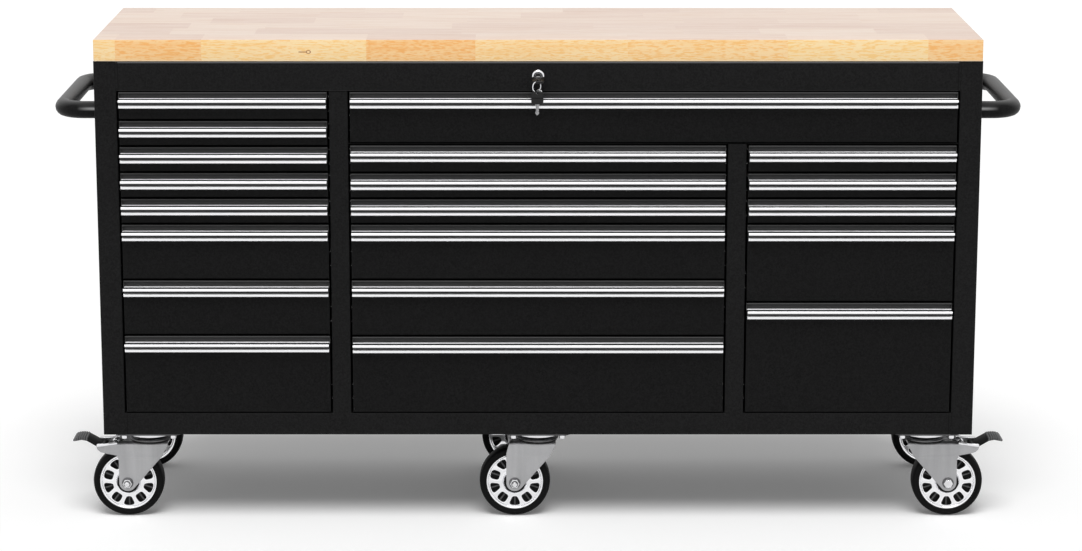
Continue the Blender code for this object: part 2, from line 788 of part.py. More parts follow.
def pull_mesh(bay_width, height):
    half = bay_width / 2 - FACE_SIDE_GAP - DRAWER_SHEET - FIT_GAP
    base = height - PULL_TOP_DROP - PULL_HEIGHT
    outline = [(-out, base + up) for out, up in pull_section()]
    outline = round_corners(outline, PULL_CORNER_RADIUS, steps=1, closed=True, chosen=PULL_ROUNDED_CORNERS)
    return plate("drawer_pull", outline, "X", -half, half)


def build_drawers(collection, tray_paint, aluminium):
    """One tray and one pull for each row; rows of one size share their meshes."""
    meshes = {}
    for name, x_low, x_high, low, high in drawer_rows():
        width, height = x_high - x_low, high - low
        slide_z = slide_centre(low, high) - low
        key = (round(width, 6), round(height, 6))
        if key not in meshes:
            pair = []
            shapes = (drawer_tray_mesh(width, height, slide_z), pull_mesh(width, height))
            for shape, material in zip(shapes, (tray_paint, aluminium)):
                mesh = shape.data
                mesh.materials.clear()
                mesh.materials.append(material)
                shade_round(mesh)
                bpy.data.objects.remove(shape, do_unlink=True)
                pair.append(mesh)
            meshes[key] = pair
        origin = ((x_low + x_high) / 2, FRONT_Y, low)
        tray = add_node(name, meshes[key][0], collection, origin)
        add_node(name.replace("drawer", "pull"), meshes[key][1], collection, origin, parent=tray)


# Worktop, handles and lock

def build_worktop(collection, wood):
    half = HALF_WIDTH - WORKTOP_SIDE_INSET
    low = (-half, FRONT_Y, WORKTOP_HEIGHT - WORKTOP_THICKNESS)
    top = box("worktop", low, (half, BACK_Y, WORKTOP_HEIGHT))
    node = finish_node("worktop", top, wood, collection, (0, FRONT_Y, WORKTOP_HEIGHT), smooth=False)
    bevel = node.modifiers.new("eased_edges", "BEVEL")
    bevel.width = WORKTOP_EDGE_RADIUS
    bevel.segments = 2


def build_handle(collection, paint, side):
    """A bent tube that stands out from the side panel in a level loop."""
    name = "side_handle_left" if side < 0 else "side_handle_right"
    root = side * (HALF_WIDTH + FIT_GAP)
    grip = side * (HALF_WIDTH + HANDLE_REACH - HANDLE_TUBE_DIAMETER / 2)
    middle_y = (FRONT_Y + BACK_Y) / 2
    leg = CABINET_DEPTH / 2 - HANDLE_LEG_INSET
    height = WORKTOP_HEIGHT - HANDLE_HEIGHT_BELOW_TOP
    path = [(root, middle_y - leg), (grip, middle_y - leg), (grip, middle_y + leg), (root, middle_y + leg)]
    path = round_corners(path, HANDLE_BEND_RADIUS, steps=BEND_STEPS)
    curve = bpy.data.curves.new(name, "CURVE")
    curve.dimensions = "3D"
    curve.bevel_depth = HANDLE_TUBE_DIAMETER / 2
    curve.bevel_resolution = TUBE_RESOLUTION
    curve.use_fill_caps = True
    line = curve.splines.new("POLY")
    line.points.add(len(path) - 1)
    for point, (x, y) in zip(line.points, path):
        point.co = (x, y, height, 1.0)
    tube = new_piece(name, curve)
    bpy.context.view_layer.update()
    tube = weld_caps(evaluated(tube))
    finish_node(name, tube, paint, collection, (root, middle_y, height))


def along_y(y, z):
    """Stand a turned shape's axis along -Y, out of the front, at the given place."""
    return Matrix.Translation((0, y, z)) @ Matrix.Rotation(math.pi / 2, 4, "X")


def key_pieces(plug_front):
    """A flat shank that reaches into the plug, and a round bow that lies level."""
    half_shank, half_thickness = KEY_SHANK_WIDTH / 2, KEY_THICKNESS / 2
    bow_radius = KEY_BOW_DIAMETER / 2
    bow_centre = plug_front - KEY_SHANK_LENGTH - bow_radius
    shank = box(
        "key_shank",
        (-half_shank, bow_centre, LOCK_Z - half_thickness),
        (half_shank, plug_front + LOCK_HEAD_THICKNESS, LOCK_Z + half_thickness),
    )
    bow_low = LOCK_Z - KEY_BOW_THICKNESS / 2
    bow = cylinder("key_bow", (0, bow_centre, bow_low), (0, 0, 1), KEY_BOW_DIAMETER, KEY_BOW_THICKNESS)
    hole = cylinder(
        "key_bow_hole", (0, bow_centre - bow_radius / 2, bow_low - CUT_OVERRUN), (0, 0, 1),
        KEY_BOW_HOLE_DIAMETER, KEY_BOW_THICKNESS + 2 * CUT_OVERRUN, steps=BOLT_STEPS,
    )
    return [shank, bow], hole


def build_lock(collection, chrome, key_metal):
    """The fixed head and barrel, and the plug, key and cam that turn together."""
    bore = bore_diameter(LOCK_PLUG_DIAMETER, ROUND_STEPS) / 2
    head = LOCK_HEAD_DIAMETER / 2
    barrel = LOCK_BARREL_DIAMETER / 2
    profile = [
        (bore, LOCK_HEAD_THICKNESS),
        (head - 2 * LOCK_HEAD_CROWN, LOCK_HEAD_THICKNESS),
        (head, LOCK_HEAD_THICKNESS - LOCK_HEAD_CROWN),
        (head, FIT_GAP),
        (barrel, FIT_GAP),
        (barrel, -LOCK_BARREL_LENGTH),
        (bore, -LOCK_BARREL_LENGTH),
        (bore, LOCK_HEAD_THICKNESS),
    ]
    housing = turned("lock_cylinder", profile, along_y(FRONT_Y, LOCK_Z))
    finish_node("lock_cylinder", housing, chrome, collection, (0, FRONT_Y, LOCK_Z))

    plug_front = FRONT_Y - LOCK_HEAD_THICKNESS
    cam_y = FRONT_Y + LOCK_BARREL_LENGTH + FIT_GAP
    plug_length = cam_y + LOCK_CAM_THICKNESS / 2 - plug_front
    plug = cylinder("plug", (0, plug_front, LOCK_Z), (0, 1, 0), LOCK_PLUG_DIAMETER, plug_length)
    cam_half = LOCK_CAM_WIDTH / 2
    cam_outline = [
        *arc_points((0, LOCK_Z), cam_half, 0, 180, BEND_STEPS),
        (-cam_half, LOCK_Z + cam_half - LOCK_CAM_LENGTH),
        (cam_half, LOCK_Z + cam_half - LOCK_CAM_LENGTH),
    ]
    cam = plate("cam", cam_outline, "Y", cam_y, cam_y + LOCK_CAM_THICKNESS)
    blade, hole = key_pieces(plug_front)
    key = cut("key", combine("key", [plug, cam, *blade]), [hole])
    finish_node("key", key, key_metal, collection, (0, FRONT_Y, LOCK_Z))


# Casters, drawn about a swivel axis at x = y = 0 with the wheel trailing to +x

def fork_outline(brake):
    """Side of the pressed fork: level top, round eye under the axle, leading edge bent at a knee."""
    lead = (-FORK_CROWN_FRONT, FORK_CROWN_TOP)
    knee = Vector((FORK_KNEE_SETBACK - FORK_CROWN_FRONT, FORK_CROWN_TOP - FORK_KNEE_DROP))
    eye = Vector((AXLE_OFFSET, AXLE_Z))
    reach = eye - knee
    slope = math.degrees(math.atan2(reach.y, reach.x) - math.asin(FORK_EYE_RADIUS / reach.length))
    outline = arc_points(eye, FORK_EYE_RADIUS, 0, slope - 90, EYE_STEPS)
    outline += [tuple(knee), lead]
    if brake:
        outline.append((FORK_CROWN_BACK, FORK_CROWN_TOP))
        wing_radius = BRAKE_WING_HEIGHT / 2
        wing = (BRAKE_WING_REACH - wing_radius, FORK_CROWN_TOP - BRAKE_WING_DROP - wing_radius)
        outline += arc_points(wing, wing_radius, 90, -90, BEND_STEPS)
        outline.append((BRAKE_WING_ROOT, FORK_CROWN_TOP - BRAKE_WING_ROOT_DROP))
    else:
        outline.append((FORK_CROWN_BACK, FORK_CROWN_TOP))
    return outline


def fork_mesh(brake):
    inner, outer = FORK_INNER_HALF, FORK_INNER_HALF + FORK_SHEET
    legs = [
        plate("fork_leg", fork_outline(brake), "Y", inner, outer),
        plate("fork_leg", fork_outline(brake), "Y", -outer, -inner),
    ]
    crown = box(
        "crown",
        (-FORK_CROWN_FRONT, -outer, FORK_CROWN_TOP - FORK_SHEET),
        (FORK_CROWN_BACK, outer, FORK_CROWN_TOP),
    )
    race_base = FORK_CROWN_TOP - FORK_SHEET
    race_profile = [
        (0, RACE_SPLIT_Z - FIT_GAP),
        (LOWER_RACE_DIAMETER / 2, RACE_SPLIT_Z - FIT_GAP),
        (LOWER_RACE_DIAMETER / 2, (RACE_SPLIT_Z + FORK_CROWN_TOP) / 2),
        (LOWER_RACE_NECK_DIAMETER / 2, race_base),
        (0, race_base),
    ]
    race = turned("lower_race", race_profile, Matrix.Identity(4), steps=RACE_STEPS)
    nut_base = CASTER_HEIGHT + SHEET + FIT_GAP
    kingpin = cylinder(
        "kingpin", (0, 0, race_base), (0, 0, 1), KINGPIN_DIAMETER,
        nut_base + KINGPIN_NUT_HEIGHT - race_base, steps=BOLT_STEPS,
    )
    kingpin_nut = hexagon("kingpin_nut", (0, 0, nut_base), (0, 0, 1), KINGPIN_NUT_WIDTH, KINGPIN_NUT_HEIGHT)
    axle_end = outer + AXLE_NUT_HEIGHT / 2
    axle = cylinder(
        "axle", (AXLE_OFFSET, -axle_end, AXLE_Z), (0, 1, 0), AXLE_DIAMETER, 2 * axle_end,
        steps=BOLT_STEPS,
    )
    pieces = legs + [crown, race, kingpin, kingpin_nut, axle]
    nut_length = AXLE_NUT_HEIGHT + WELD_LAP
    for base in (-outer - AXLE_NUT_HEIGHT, outer - WELD_LAP):
        pieces.append(hexagon("axle_nut", (AXLE_OFFSET, base, AXLE_Z), (0, 1, 0), AXLE_NUT_WIDTH, nut_length))
    fork = combine("fork", pieces)
    if brake:
        pin_hole = cylinder(
            "pedal_pin_hole", (PEDAL_PIVOT_REACH, -outer - CUT_OVERRUN, PEDAL_PIVOT_Z), (0, 1, 0),
            bore_diameter(PEDAL_PIN_DIAMETER, BOLT_STEPS), 2 * (outer + CUT_OVERRUN), steps=BOLT_STEPS,
        )
        fork = cut("fork", fork, [pin_hole])
    return fork


def window_outline():
    """One opening between two spokes of the rim, wider at the tyre than at the hub."""
    sector = 360 / SPOKE_COUNT
    inner_half = sector * WINDOW_INNER_SHARE / 2
    outer_half = sector * WINDOW_OUTER_SHARE / 2
    outline = arc_points((0, 0), WINDOW_OUTER_RADIUS, -outer_half, outer_half, 1)
    outline += arc_points((0, 0), WINDOW_INNER_RADIUS, inner_half, -inner_half, 1)
    return outline


def wheel_mesh():
    """Tyre and rim turned together about Y, with a pocket between the spokes on either side."""
    bore = bore_diameter(AXLE_DIAMETER, WHEEL_STEPS) / 2
    hub = HUB_DIAMETER / 2
    hub_half = FORK_INNER_HALF - HUB_FIT
    rim_half = RIM_WIDTH / 2
    face_half = rim_half - RIM_DISH
    tread_half = TREAD_WIDTH / 2
    half_profile = [
        (bore, hub_half),
        (hub - RIM_RING, hub_half),
        (hub, face_half),
        (RIM_RADIUS - RIM_RING, face_half),
        (RIM_RADIUS, rim_half),
        (AXLE_Z - TREAD_SHOULDER, tread_half),
        (AXLE_Z, tread_half - TREAD_SHOULDER),
    ]
    mirrored = [(radius, -height) for radius, height in reversed(half_profile)]
    profile = half_profile + mirrored + half_profile[:1]
    body = turned("wheel", profile, Matrix.Rotation(math.pi / 2, 4, "X"), steps=WHEEL_STEPS)
    reach = rim_half + CUT_OVERRUN
    pocket = face_half - WINDOW_DEPTH
    windows = []
    for spoke in range(SPOKE_COUNT):
        angle = math.pi * (2 * spoke + 1) / SPOKE_COUNT
        for start, end in ((-reach, -pocket), (pocket, reach)):
            window = plate("window", window_outline(), "Y", start, end)
            windows.append(place(window, Matrix.Rotation(angle, 4, "Y")))
    return cut("wheel", body, windows)


def pedal_mesh():
    """A bent lever with its boss and pin, pressed down by foot."""
    half = PEDAL_WIDTH / 2
    hump_z = FORK_CROWN_TOP + PEDAL_HUMP_RISE
    line = [
        (PEDAL_PIVOT_REACH, PEDAL_PIVOT_Z),
        ((PEDAL_PIVOT_REACH + PEDAL_HUMP_REACH) / 2, hump_z - PEDAL_THICKNESS),
        (PEDAL_HUMP_REACH, hump_z),
        (PEDAL_TIP_REACH, FORK_CROWN_TOP - PEDAL_TIP_DROP),
    ]
    line = round_corners(line, PEDAL_BOSS_DIAMETER, steps=FOLD_STEPS)
    lever = folded_sheet("lever", line, "Y", -half, half, PEDAL_THICKNESS, -1.0)
    boss = cylinder(
        "boss", (PEDAL_PIVOT_REACH, -half, PEDAL_PIVOT_Z), (0, 1, 0), PEDAL_BOSS_DIAMETER, PEDAL_WIDTH,
        steps=BOLT_STEPS,
    )
    pin_half = FORK_INNER_HALF + FORK_SHEET
    pin = cylinder(
        "pin", (PEDAL_PIVOT_REACH, -pin_half, PEDAL_PIVOT_Z), (0, 1, 0), PEDAL_PIN_DIAMETER,
        2 * pin_half, steps=BOLT_STEPS,
    )
    return combine("brake_pedal", [lever, boss, pin])


def shared_mesh(piece, material):
    mesh = piece.data
    mesh.materials.clear()
    mesh.materials.append(material)
    shade_round(mesh)
    bpy.data.objects.remove(piece, do_unlink=True)
    return mesh


def build_casters(collection, zinc, chrome, pedal_paint):
    plain_fork = shared_mesh(fork_mesh(False), zinc)
    brake_fork = shared_mesh(fork_mesh(True), zinc)
    wheel = shared_mesh(wheel_mesh(), chrome)
    pedal_piece = place(pedal_mesh(), Matrix.Translation((-PEDAL_PIVOT_REACH, 0, -PEDAL_PIVOT_Z)))
    pedal = shared_mesh(pedal_piece, pedal_paint)
    for name, x, y, heading, brake in caster_places():
        turn = 0.0 if heading > 0 else math.pi
        fork = add_node("fork_" + name, brake_fork if brake else plain_fork, collection, (x, y, 0), turn=turn)
        axle = (x + heading * AXLE_OFFSET, y, AXLE_Z)
        add_node("wheel_" + name, wheel, collection, axle, parent=fork, turn=turn)
        if brake:
            pivot = (x + heading * PEDAL_PIVOT_REACH, y, PEDAL_PIVOT_Z)
            add_node("brake_pedal_" + name, pedal, collection, pivot, parent=fork, turn=turn)


def main():
    clear_scene()
    collection = make_collection(COLLECTION_NAME)
    black_paint = make_material("black_powder_coat", (0.018, 0.018, 0.019), 0.55, 0.0)
    drawer_paint = make_material("black_drawer_coat", (0.012, 0.012, 0.013), 0.50, 0.0)
    aluminium = make_material("bright_aluminium", (0.86, 0.87, 0.88), 0.25, 1.0)
    wood = make_material("butcher_block", (0.72, 0.50, 0.33), 0.55, 0.0)
    zinc = make_material("zinc_plate", (0.55, 0.56, 0.57), 0.38, 1.0)
    chrome = make_material("chrome", (0.90, 0.90, 0.90), 0.12, 1.0)
    pedal_paint = make_material("dark_grey_pedal", (0.06, 0.06, 0.065), 0.60, 0.0)

    shell = cabinet_shell()
    finish_node("cabinet_shell", shell, black_paint, collection, (0, FRONT_Y, CASTER_HEIGHT), smooth=False)
    build_worktop(collection, wood)
    build_handle(collection, black_paint, -1)
    build_handle(collection, black_paint, 1)
    build_lock(collection, chrome, zinc)
    build_drawers(collection, drawer_paint, aluminium)
    build_casters(collection, zinc, chrome, pedal_paint)


main()
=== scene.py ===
"""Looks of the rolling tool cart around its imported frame: finishes, staves, pulls, casters, lock and light.

Metres, +Z up, the front faces -Y, as in the frame.
"""

import json
import math
import random

import bmesh
import bpy
from mathutils import Matrix, Vector


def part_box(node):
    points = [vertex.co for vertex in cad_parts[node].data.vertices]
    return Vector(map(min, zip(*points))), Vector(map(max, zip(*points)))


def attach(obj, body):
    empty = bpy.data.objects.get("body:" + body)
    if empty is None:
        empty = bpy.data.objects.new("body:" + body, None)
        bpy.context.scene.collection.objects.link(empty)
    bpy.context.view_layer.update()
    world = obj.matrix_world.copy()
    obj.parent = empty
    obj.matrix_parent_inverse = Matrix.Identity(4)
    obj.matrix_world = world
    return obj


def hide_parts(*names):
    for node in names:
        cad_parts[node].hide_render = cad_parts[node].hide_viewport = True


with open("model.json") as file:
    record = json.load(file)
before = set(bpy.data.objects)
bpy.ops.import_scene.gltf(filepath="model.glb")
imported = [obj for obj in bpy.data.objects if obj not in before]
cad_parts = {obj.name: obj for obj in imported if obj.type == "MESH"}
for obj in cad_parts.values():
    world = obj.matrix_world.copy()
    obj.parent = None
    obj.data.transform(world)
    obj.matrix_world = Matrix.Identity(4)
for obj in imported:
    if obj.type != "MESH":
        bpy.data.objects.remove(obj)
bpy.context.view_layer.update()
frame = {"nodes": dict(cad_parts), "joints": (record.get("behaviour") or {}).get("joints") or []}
NODES = frame["nodes"]
PLACES = {joint["name"]: joint.get("pos_m") for joint in frame["joints"]}
CASTERS = [name.removeprefix("swivel_") for name in PLACES if name.startswith("swivel_")]

HERE = Matrix()
SEED = 7
MERGE_DISTANCE = 0.000005
SHARP_ANGLE = 35.0

# Camera: the photograph is 1082 by 551 pixels
CAMERA_PLACE = (-0.020, -6.450, 1.950)
CAMERA_TILT = 11.8
CAMERA_LENS = 101.9
CAMERA_SHIFT = (0.0116, -0.050)

# Floor and light
FLOOR_SIZE = 60.0
FLOOR_LIFT = 0.10
WORLD_STRENGTH = 0.40
SUN_STRENGTH = 2.08
SUN_LEAN = 25.0
SUN_SOFTNESS = 35.0

# Worktop
STAVE_ROWS = 6
STAVE_SHORTEST = 0.15
STAVE_LONGEST = 0.33
FRONT_ROW_JOINTS = (0.045, 0.222, 0.405, 0.561, 0.785, 1.098, 1.427, 1.715)
FRONT_ROW_TONES = (0.95, 0.20, 0.85, 0.95, 0.15, 0.75, 0.60, 1.0, 0.25)
EASED_EDGE = 0.0015
EASED_STEPS = 3
FACE_REACH = 0.001
SIDE_TONES = ((0.94, 0.600, 0.280, 1.0), (0.97, 0.750, 0.430, 1.0))
TOP_TONES = ((0.758, 0.600, 0.510, 1.0), (0.826, 0.684, 0.582, 1.0))
END_TONES = ((0.70, 0.38, 0.17, 1.0), (0.80, 0.50, 0.25, 1.0))
ARRIS = 0.0018
KNOT = (-0.472, 1.0045)
KNOT_RING = (0.0030, 0.0052)
KNOT_TAIL = (-0.0200, -0.0045)
KNOT_BAND = (-0.0011, 0.0009)
ARRIS_TONE = (1.0, 0.84, 0.60, 1.0)
KNOT_TONE = (0.34, 0.11, 0.025, 1.0)

# Handles and pulls
HANDLE_BEND_RADIUS = 0.050
HANDLE_BEND_STEPS = 12
HANDLE_ROUND_STEPS = 7
PULL_FLAT_ANGLE = 1.0
PULL_EDGE_ANGLE = 20.0
PULL_EASED_EDGE = 0.0005
GROOVE = (0.0074, 0.0140)
GROOVE_SETBACK = 0.0010
WALL_SETBACK = 0.0180

# Sheet metal: painted highlights on folds and edges, painted shade in gaps and seams
FOLD_HIGHLIGHT_LINE = 0.0035
FOLD_HIGHLIGHT_TONE = 0.075
RAIL_FOLD = 0.0020
RAIL_FOLD_LIGHT = 0.012
ROW_GAP = 0.0016
SEAM = 0.0007
POST_DEPTH = 0.010
GAP_SHADE = 0.0007
EDGE_HIGHLIGHT_LINE = 0.0027
EDGE_HIGHLIGHT_TONE = 0.060
GLOW_TONE = 0.095
SHADOW_LINE = 0.0032
RECESS_DEPTH = 0.030

# Bare zinc on the solids: slide members, measured from the bays' edges and the front, and caster plates
CABINET_MEMBER = (-0.0036, 0.0066)
CABINET_MEMBER_FRONT = 0.034
CABINET_MEMBER_BACK = 0.2175
TRAY_MEMBER = (0.0003, 0.0086)
TRAY_MEMBER_FRONT = 0.0352
SHELF_SHEET = 0.0045
PLATE_TOP = 0.1899

# Casters, drawn about a swivel axis at x = y = 0 with the wheel trailing to +x
PLATE_Z = 0.186
CUP_Z = 0.1789
RACE_RADIUS = 0.0475
RACE_MARGIN = 0.0003
CROWN_TOP = 0.165
FORK_SHEET = 0.004
FORK_INNER_HALF = 0.026
FORK_BEND_RADIUS = 0.007
FORK_GRID = 0.006
FORK_EDGE = 0.0008
FORK_FRONT = 0.038
FORK_BACK = 0.058
FORK_KNEE = (-0.025, 0.133)
FORK_EYE_RADIUS = 0.018
FORK_WING_ROOT = 0.125
FORK_WING = (
    (0.070, 0.135), (0.0935, 0.1395), (0.1045, 0.1424), (0.1118, 0.1485), (0.1145, 0.160), (0.070, 0.1612),
)
WHEEL_RADIUS = 0.075
RIM_FACE_Z = 0.0125
WINDOWS = 10
WINDOW_RADII = (0.0343, 0.0532)
WINDOW_SHARES = ((0.80, 0.60), (0.48, 0.78))
WINDOW_ROUNDNESS = 3.6
WINDOW_POINTS = 22
WASHER_TOP = 0.0018
NUT_WIDTH = 0.0180
NUT_HEIGHT = 0.0072
HEAD_HEIGHT = 0.0066
NUT_CHAMFER = 0.0008
BRAKE_PIN = (0.076, 0.1585)
SPRING_RADIUS = 0.0058
SPRING_TURNS = 8
SPRING_STEPS = 10
PLATE_NUT = (0.0516, 0.040)
PEDAL_PIVOT = (0.101, 0.150)
PEDAL_WIDTH = 0.050
PEDAL_TREAD = (0.0325, 0.0610)
PEDAL_RIBS = 6
PEDAL_RIB_SHAPE = ((0.0, 0.0), (0.12, 0.0012), (0.56, 0.0012), (0.68, 0.0))

# Key ring links: place beside and below the lock, radius, and turn about Z
LINKS = ((-0.0030, 0.0188, 0.0110, 42.0), (0.0022, 0.0310, 0.0062, -35.0))
LINK_LEAN = 12.0
LINK_WIRE = 0.0007
LINK_PITCH = 0.0006
LINK_STEPS = 36
LINK_SETBACK = 0.0245
KEY_DROOP = -22.0
SPARE_KEY_DROP = 0.0300


def new_object(name, mesh):
    item = bpy.data.objects.new(name, mesh)
    bpy.context.scene.collection.objects.link(item)
    return item


def kept(shape, name):
    """The mesh of a bmesh, which is then freed."""
    mesh = bpy.data.meshes.new(name)
    shape.to_mesh(mesh)
    shape.free()
    return mesh


def mesh_of(shape, name):
    bmesh.ops.recalc_face_normals(shape, faces=shape.faces)
    return kept(shape, name)


def at(x, y, z):
    return Matrix.Translation((x, y, z))


def spun(degrees, axis):
    return Matrix.Rotation(math.radians(degrees), 4, axis)


def turned_to(axis):
    """The turn that lays Z along the given axis."""
    return Vector((0, 0, 1)).rotation_difference(Vector(axis)).to_matrix().to_4x4()


def smooth(mesh):
    mesh.shade_smooth()
    mesh.set_sharp_from_angle(angle=math.radians(SHARP_ANGLE))
    return mesh


def merged(name, parts, place):
    """One mesh of several, each given with its place in the whole and its material."""
    shape = bmesh.new()
    materials = []
    for mesh, inner, material in parts:
        if material not in materials:
            materials.append(material)
        copy = mesh.copy()
        copy.transform(place @ inner)
        before = len(shape.faces)
        shape.from_mesh(copy)
        shape.faces.ensure_lookup_table()
        for face in shape.faces[before:]:
            face.material_index = materials.index(material)
        bpy.data.meshes.remove(copy)
    mesh = kept(shape, name)
    for material in materials:
        mesh.materials.append(material)
    return mesh


def show(piece, body, replaced):
    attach(piece, body)
    if replaced:
        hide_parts(*replaced)


def add_piece(name, parts, body, slot, *replaced, place=HERE):
    """Show the parts as one smooth piece that rides on a body."""
    show(new_object(name, smooth(merged(name, parts, place))), body, replaced)


# Outlines and solids

def arc(centre, radius, start, end, steps):
    points = []
    for step in range(steps + 1):
        angle = math.radians(start + (end - start) * step / steps)
        points.append((centre[0] + radius * math.cos(angle), centre[1] + radius * math.sin(angle)))
    return points


def rounded(points, radius, steps=4, closed=True):
    """The same outline with an arc in place of each corner."""
    result = []
    for index, point in enumerate(points):
        if not closed and index in (0, len(points) - 1):
            result.append(tuple(point))
            continue
        corner = Vector(point)
        before = Vector(points[index - 1]) - corner
        after = Vector(points[(index + 1) % len(points)]) - corner
        half_angle = before.angle(after) / 2
        reach = min(radius / math.tan(half_angle), before.length * 0.48, after.length * 0.48)
        start = corner + before.normalized() * reach
        end = corner + after.normalized() * reach
        for step in range(steps + 1):
            share = step / steps
            bend = start.lerp(corner, share).lerp(corner.lerp(end, share), share)
            result.append(tuple(bend))
    return result


def lathe(profile, steps=64, closed=True):
    """A profile of (radius, height) pairs turned about Z."""
    shape = bmesh.new()
    rings = []
    for radius, height in profile:
        ring = []
        for step in range(steps):
            angle = math.tau * step / steps
            ring.append(shape.verts.new((radius * math.cos(angle), radius * math.sin(angle), height)))
        rings.append(ring)
    pairs = list(zip(rings, rings[1:]))
    if closed:
        pairs.append((rings[-1], rings[0]))
    for first, second in pairs:
        for step in range(steps):
            shape.faces.new((first[step - 1], first[step], second[step], second[step - 1]))
    bmesh.ops.remove_doubles(shape, verts=shape.verts, dist=MERGE_DISTANCE)
    return mesh_of(shape, "lathe")


def curve_mesh(lines, **settings):
    """The welded mesh of a curve along lines of points; the curve itself is removed."""
    curve = bpy.data.curves.new("line", "CURVE")
    for key, value in settings.items():
        setattr(curve, key, value)
    for places in lines:
        line = curve.splines.new("POLY")
        line.points.add(len(places) - 1)
        for point, place in zip(line.points, places):
            point.co = (*place, 1.0)
        line.use_cyclic_u = curve.dimensions == "2D"
    item = new_object("line", curve)
    bpy.context.view_layer.update()
    graph = bpy.context.evaluated_depsgraph_get()
    mesh = bpy.data.meshes.new_from_object(item.evaluated_get(graph))
    bpy.data.objects.remove(item, do_unlink=True)
    shape = bmesh.new()
    shape.from_mesh(mesh)
    bpy.data.meshes.remove(mesh)
    bmesh.ops.remove_doubles(shape, verts=shape.verts, dist=MERGE_DISTANCE)
    return mesh_of(shape, "line")


def cut_plate(outlines, thickness, edge, steps=1):
    """A flat plate about z = 0 whose first outline is its rim and whose others are its openings."""
    lines = [[(x, y, 0.0) for x, y in outline] for outline in outlines]
    return curve_mesh(
        lines, dimensions="2D", fill_mode="BOTH", extrude=thickness / 2 - edge, bevel_depth=edge,
        bevel_resolution=steps, offset=-edge,
    )


def rod(path, radius, steps):
    """A round rod along a path of points."""
    return curve_mesh([path], dimensions="3D", bevel_depth=radius, bevel_resolution=steps, use_fill_caps=True)


def rectangle(left, bottom, right, top):
    return [(left, bottom), (right, bottom), (right, top), (left, top)]


def cut_across(shape, place, normal, parts=None):
    """Cut the shape, or only some of its parts, along the plane at a place on an axis."""
    whole = [*shape.verts, *shape.edges, *shape.faces]
    bmesh.ops.bisect_plane(shape, geom=parts or whole, plane_co=Vector(normal) * place, plane_no=normal)


def hexagon_nut(width, height):
    """A hexagonal nut that stands on z = 0, with its corners turned off."""
    radius = width / 2 / math.cos(math.pi / 6) - NUT_CHAMFER / 2
    nut = cut_plate([arc((0, 0), radius, 0, 300, 5)], height, NUT_CHAMFER / 2)
    nut.transform(at(0, 0, height / 2))
    return nut


# Materials

class Shading:
    """The node graph of one material, read in the cart's own coordinates."""

    def __init__(self, name, **sockets):
        self.material = bpy.data.materials.new(name)
        self.material.use_nodes = True
        self.tree = self.material.node_tree
        self.shader = self.tree.nodes["Principled BSDF"]
        self.place = self.node("ShaderNodeTexCoord").outputs["Object"]
        for socket, value in sockets.items():
            self.set(socket.replace("_", " "), value)

    def set(self, socket, value):
        self.feed(self.shader.inputs[socket], value)

    def feed(self, socket, value):
        if isinstance(value, bpy.types.NodeSocket):
            self.tree.links.new(value, socket)
        else:
            socket.default_value = value

    def node(self, kind, inputs=None, **settings):
        item = self.tree.nodes.new(kind)
        for key, value in settings.items():
            setattr(item, key, value)
        for key, value in (inputs or {}).items():
            self.feed(item.inputs[key], value)
        return item

    def stretched(self, scale, source=None):
        inputs = {"Vector": source or self.place, "Scale": scale}
        return self.node("ShaderNodeMapping", inputs).outputs["Vector"]

    def noise(self, scale=1.0, detail=2.0, distortion=0.0, source=None):
        inputs = {"Vector": source or self.place, "Scale": scale, "Detail": detail, "Distortion": distortion}
        return self.node("ShaderNodeTexNoise", inputs).outputs["Fac"]

    def math(self, operation, first, second=0.0):
        return self.node("ShaderNodeMath", {0: first, 1: second}, operation=operation).outputs["Value"]

    def spread(self, value, low, high, to_low=0.0, to_high=1.0):
        inputs = {"Value": value, "From Min": low, "From Max": high, "To Min": to_low, "To Max": to_high}
        return self.node("ShaderNodeMapRange", inputs).outputs["Result"]

    def mix(self, share, first, second):
        inputs = {"Fac": share, "Color1": first, "Color2": second}
        return self.node("ShaderNodeMixRGB", inputs).outputs["Color"]

    def axis(self, name, source=None):
        return self.node("ShaderNodeSeparateXYZ", {"Vector": source or self.place}).outputs[name]

    def bump(self, height, strength, distance):
        inputs = {"Height": height, "Strength": strength, "Distance": distance}
        self.set("Normal", self.node("ShaderNodeBump", inputs).outputs["Normal"])

    def chain(self, operation, values):
        result = values[0]
        for value in values[1:]:
            result = self.math(operation, result, value)
        return result

    def plus(self, *values):
        return self.chain("ADD", values)

    def times(self, *values):
        return self.chain("MULTIPLY", values)

    def most(self, *values):
        return self.chain("MAXIMUM", values)

    def within(self, value, low, high):
        """1 where the value lies between two limits."""
        return self.times(self.math("GREATER_THAN", value, low), self.math("LESS_THAN", value, high))

    def vector(self, operation, first, second, output="Vector"):
        return self.node("ShaderNodeVectorMath", {0: first, 1: second}, operation=operation).outputs[output]


def grey(level):
    return (level, level, level * 1.02, 1.0)


def coat(name, level, specular, roughness, fittings, painted_light):
    """Black powder coat; fittings gives the mask and tone of bare metal, which also carry a painted highlight
    and painted shade, and the last argument gives painted highlights and painted shade.
    """
    look = Shading(name, Specular_IOR_Level=specular)
    grain = look.noise(330.0, 3.0)
    shade = look.mix(look.spread(grain, 0.35, 0.65), grey(level * 0.35), grey(level * 1.9))
    shade = look.mix(look.spread(look.noise(26.0), 0.3, 0.7, 0.0, 0.35), shade, grey(level * 1.2))
    # painted highlights and glow are added, and painted shade darkens the coat almost to black
    light, dark = painted_light(look)
    shade = look.vector("ADD", look.mix(dark, shade, grey(0.0003)), light)
    mask, tone = fittings(look)
    look.set("Base Color", look.mix(mask, shade, tone))
    look.set("Metallic", mask)
    rough = look.spread(grain, 0.3, 0.7, roughness * 0.9, roughness * 1.1)
    look.set("Roughness", look.times(rough, look.spread(mask, 0.0, 1.0, 1.0, 0.7)))
    look.bump(look.noise(900.0), 0.25, 0.0003)
    return look.material


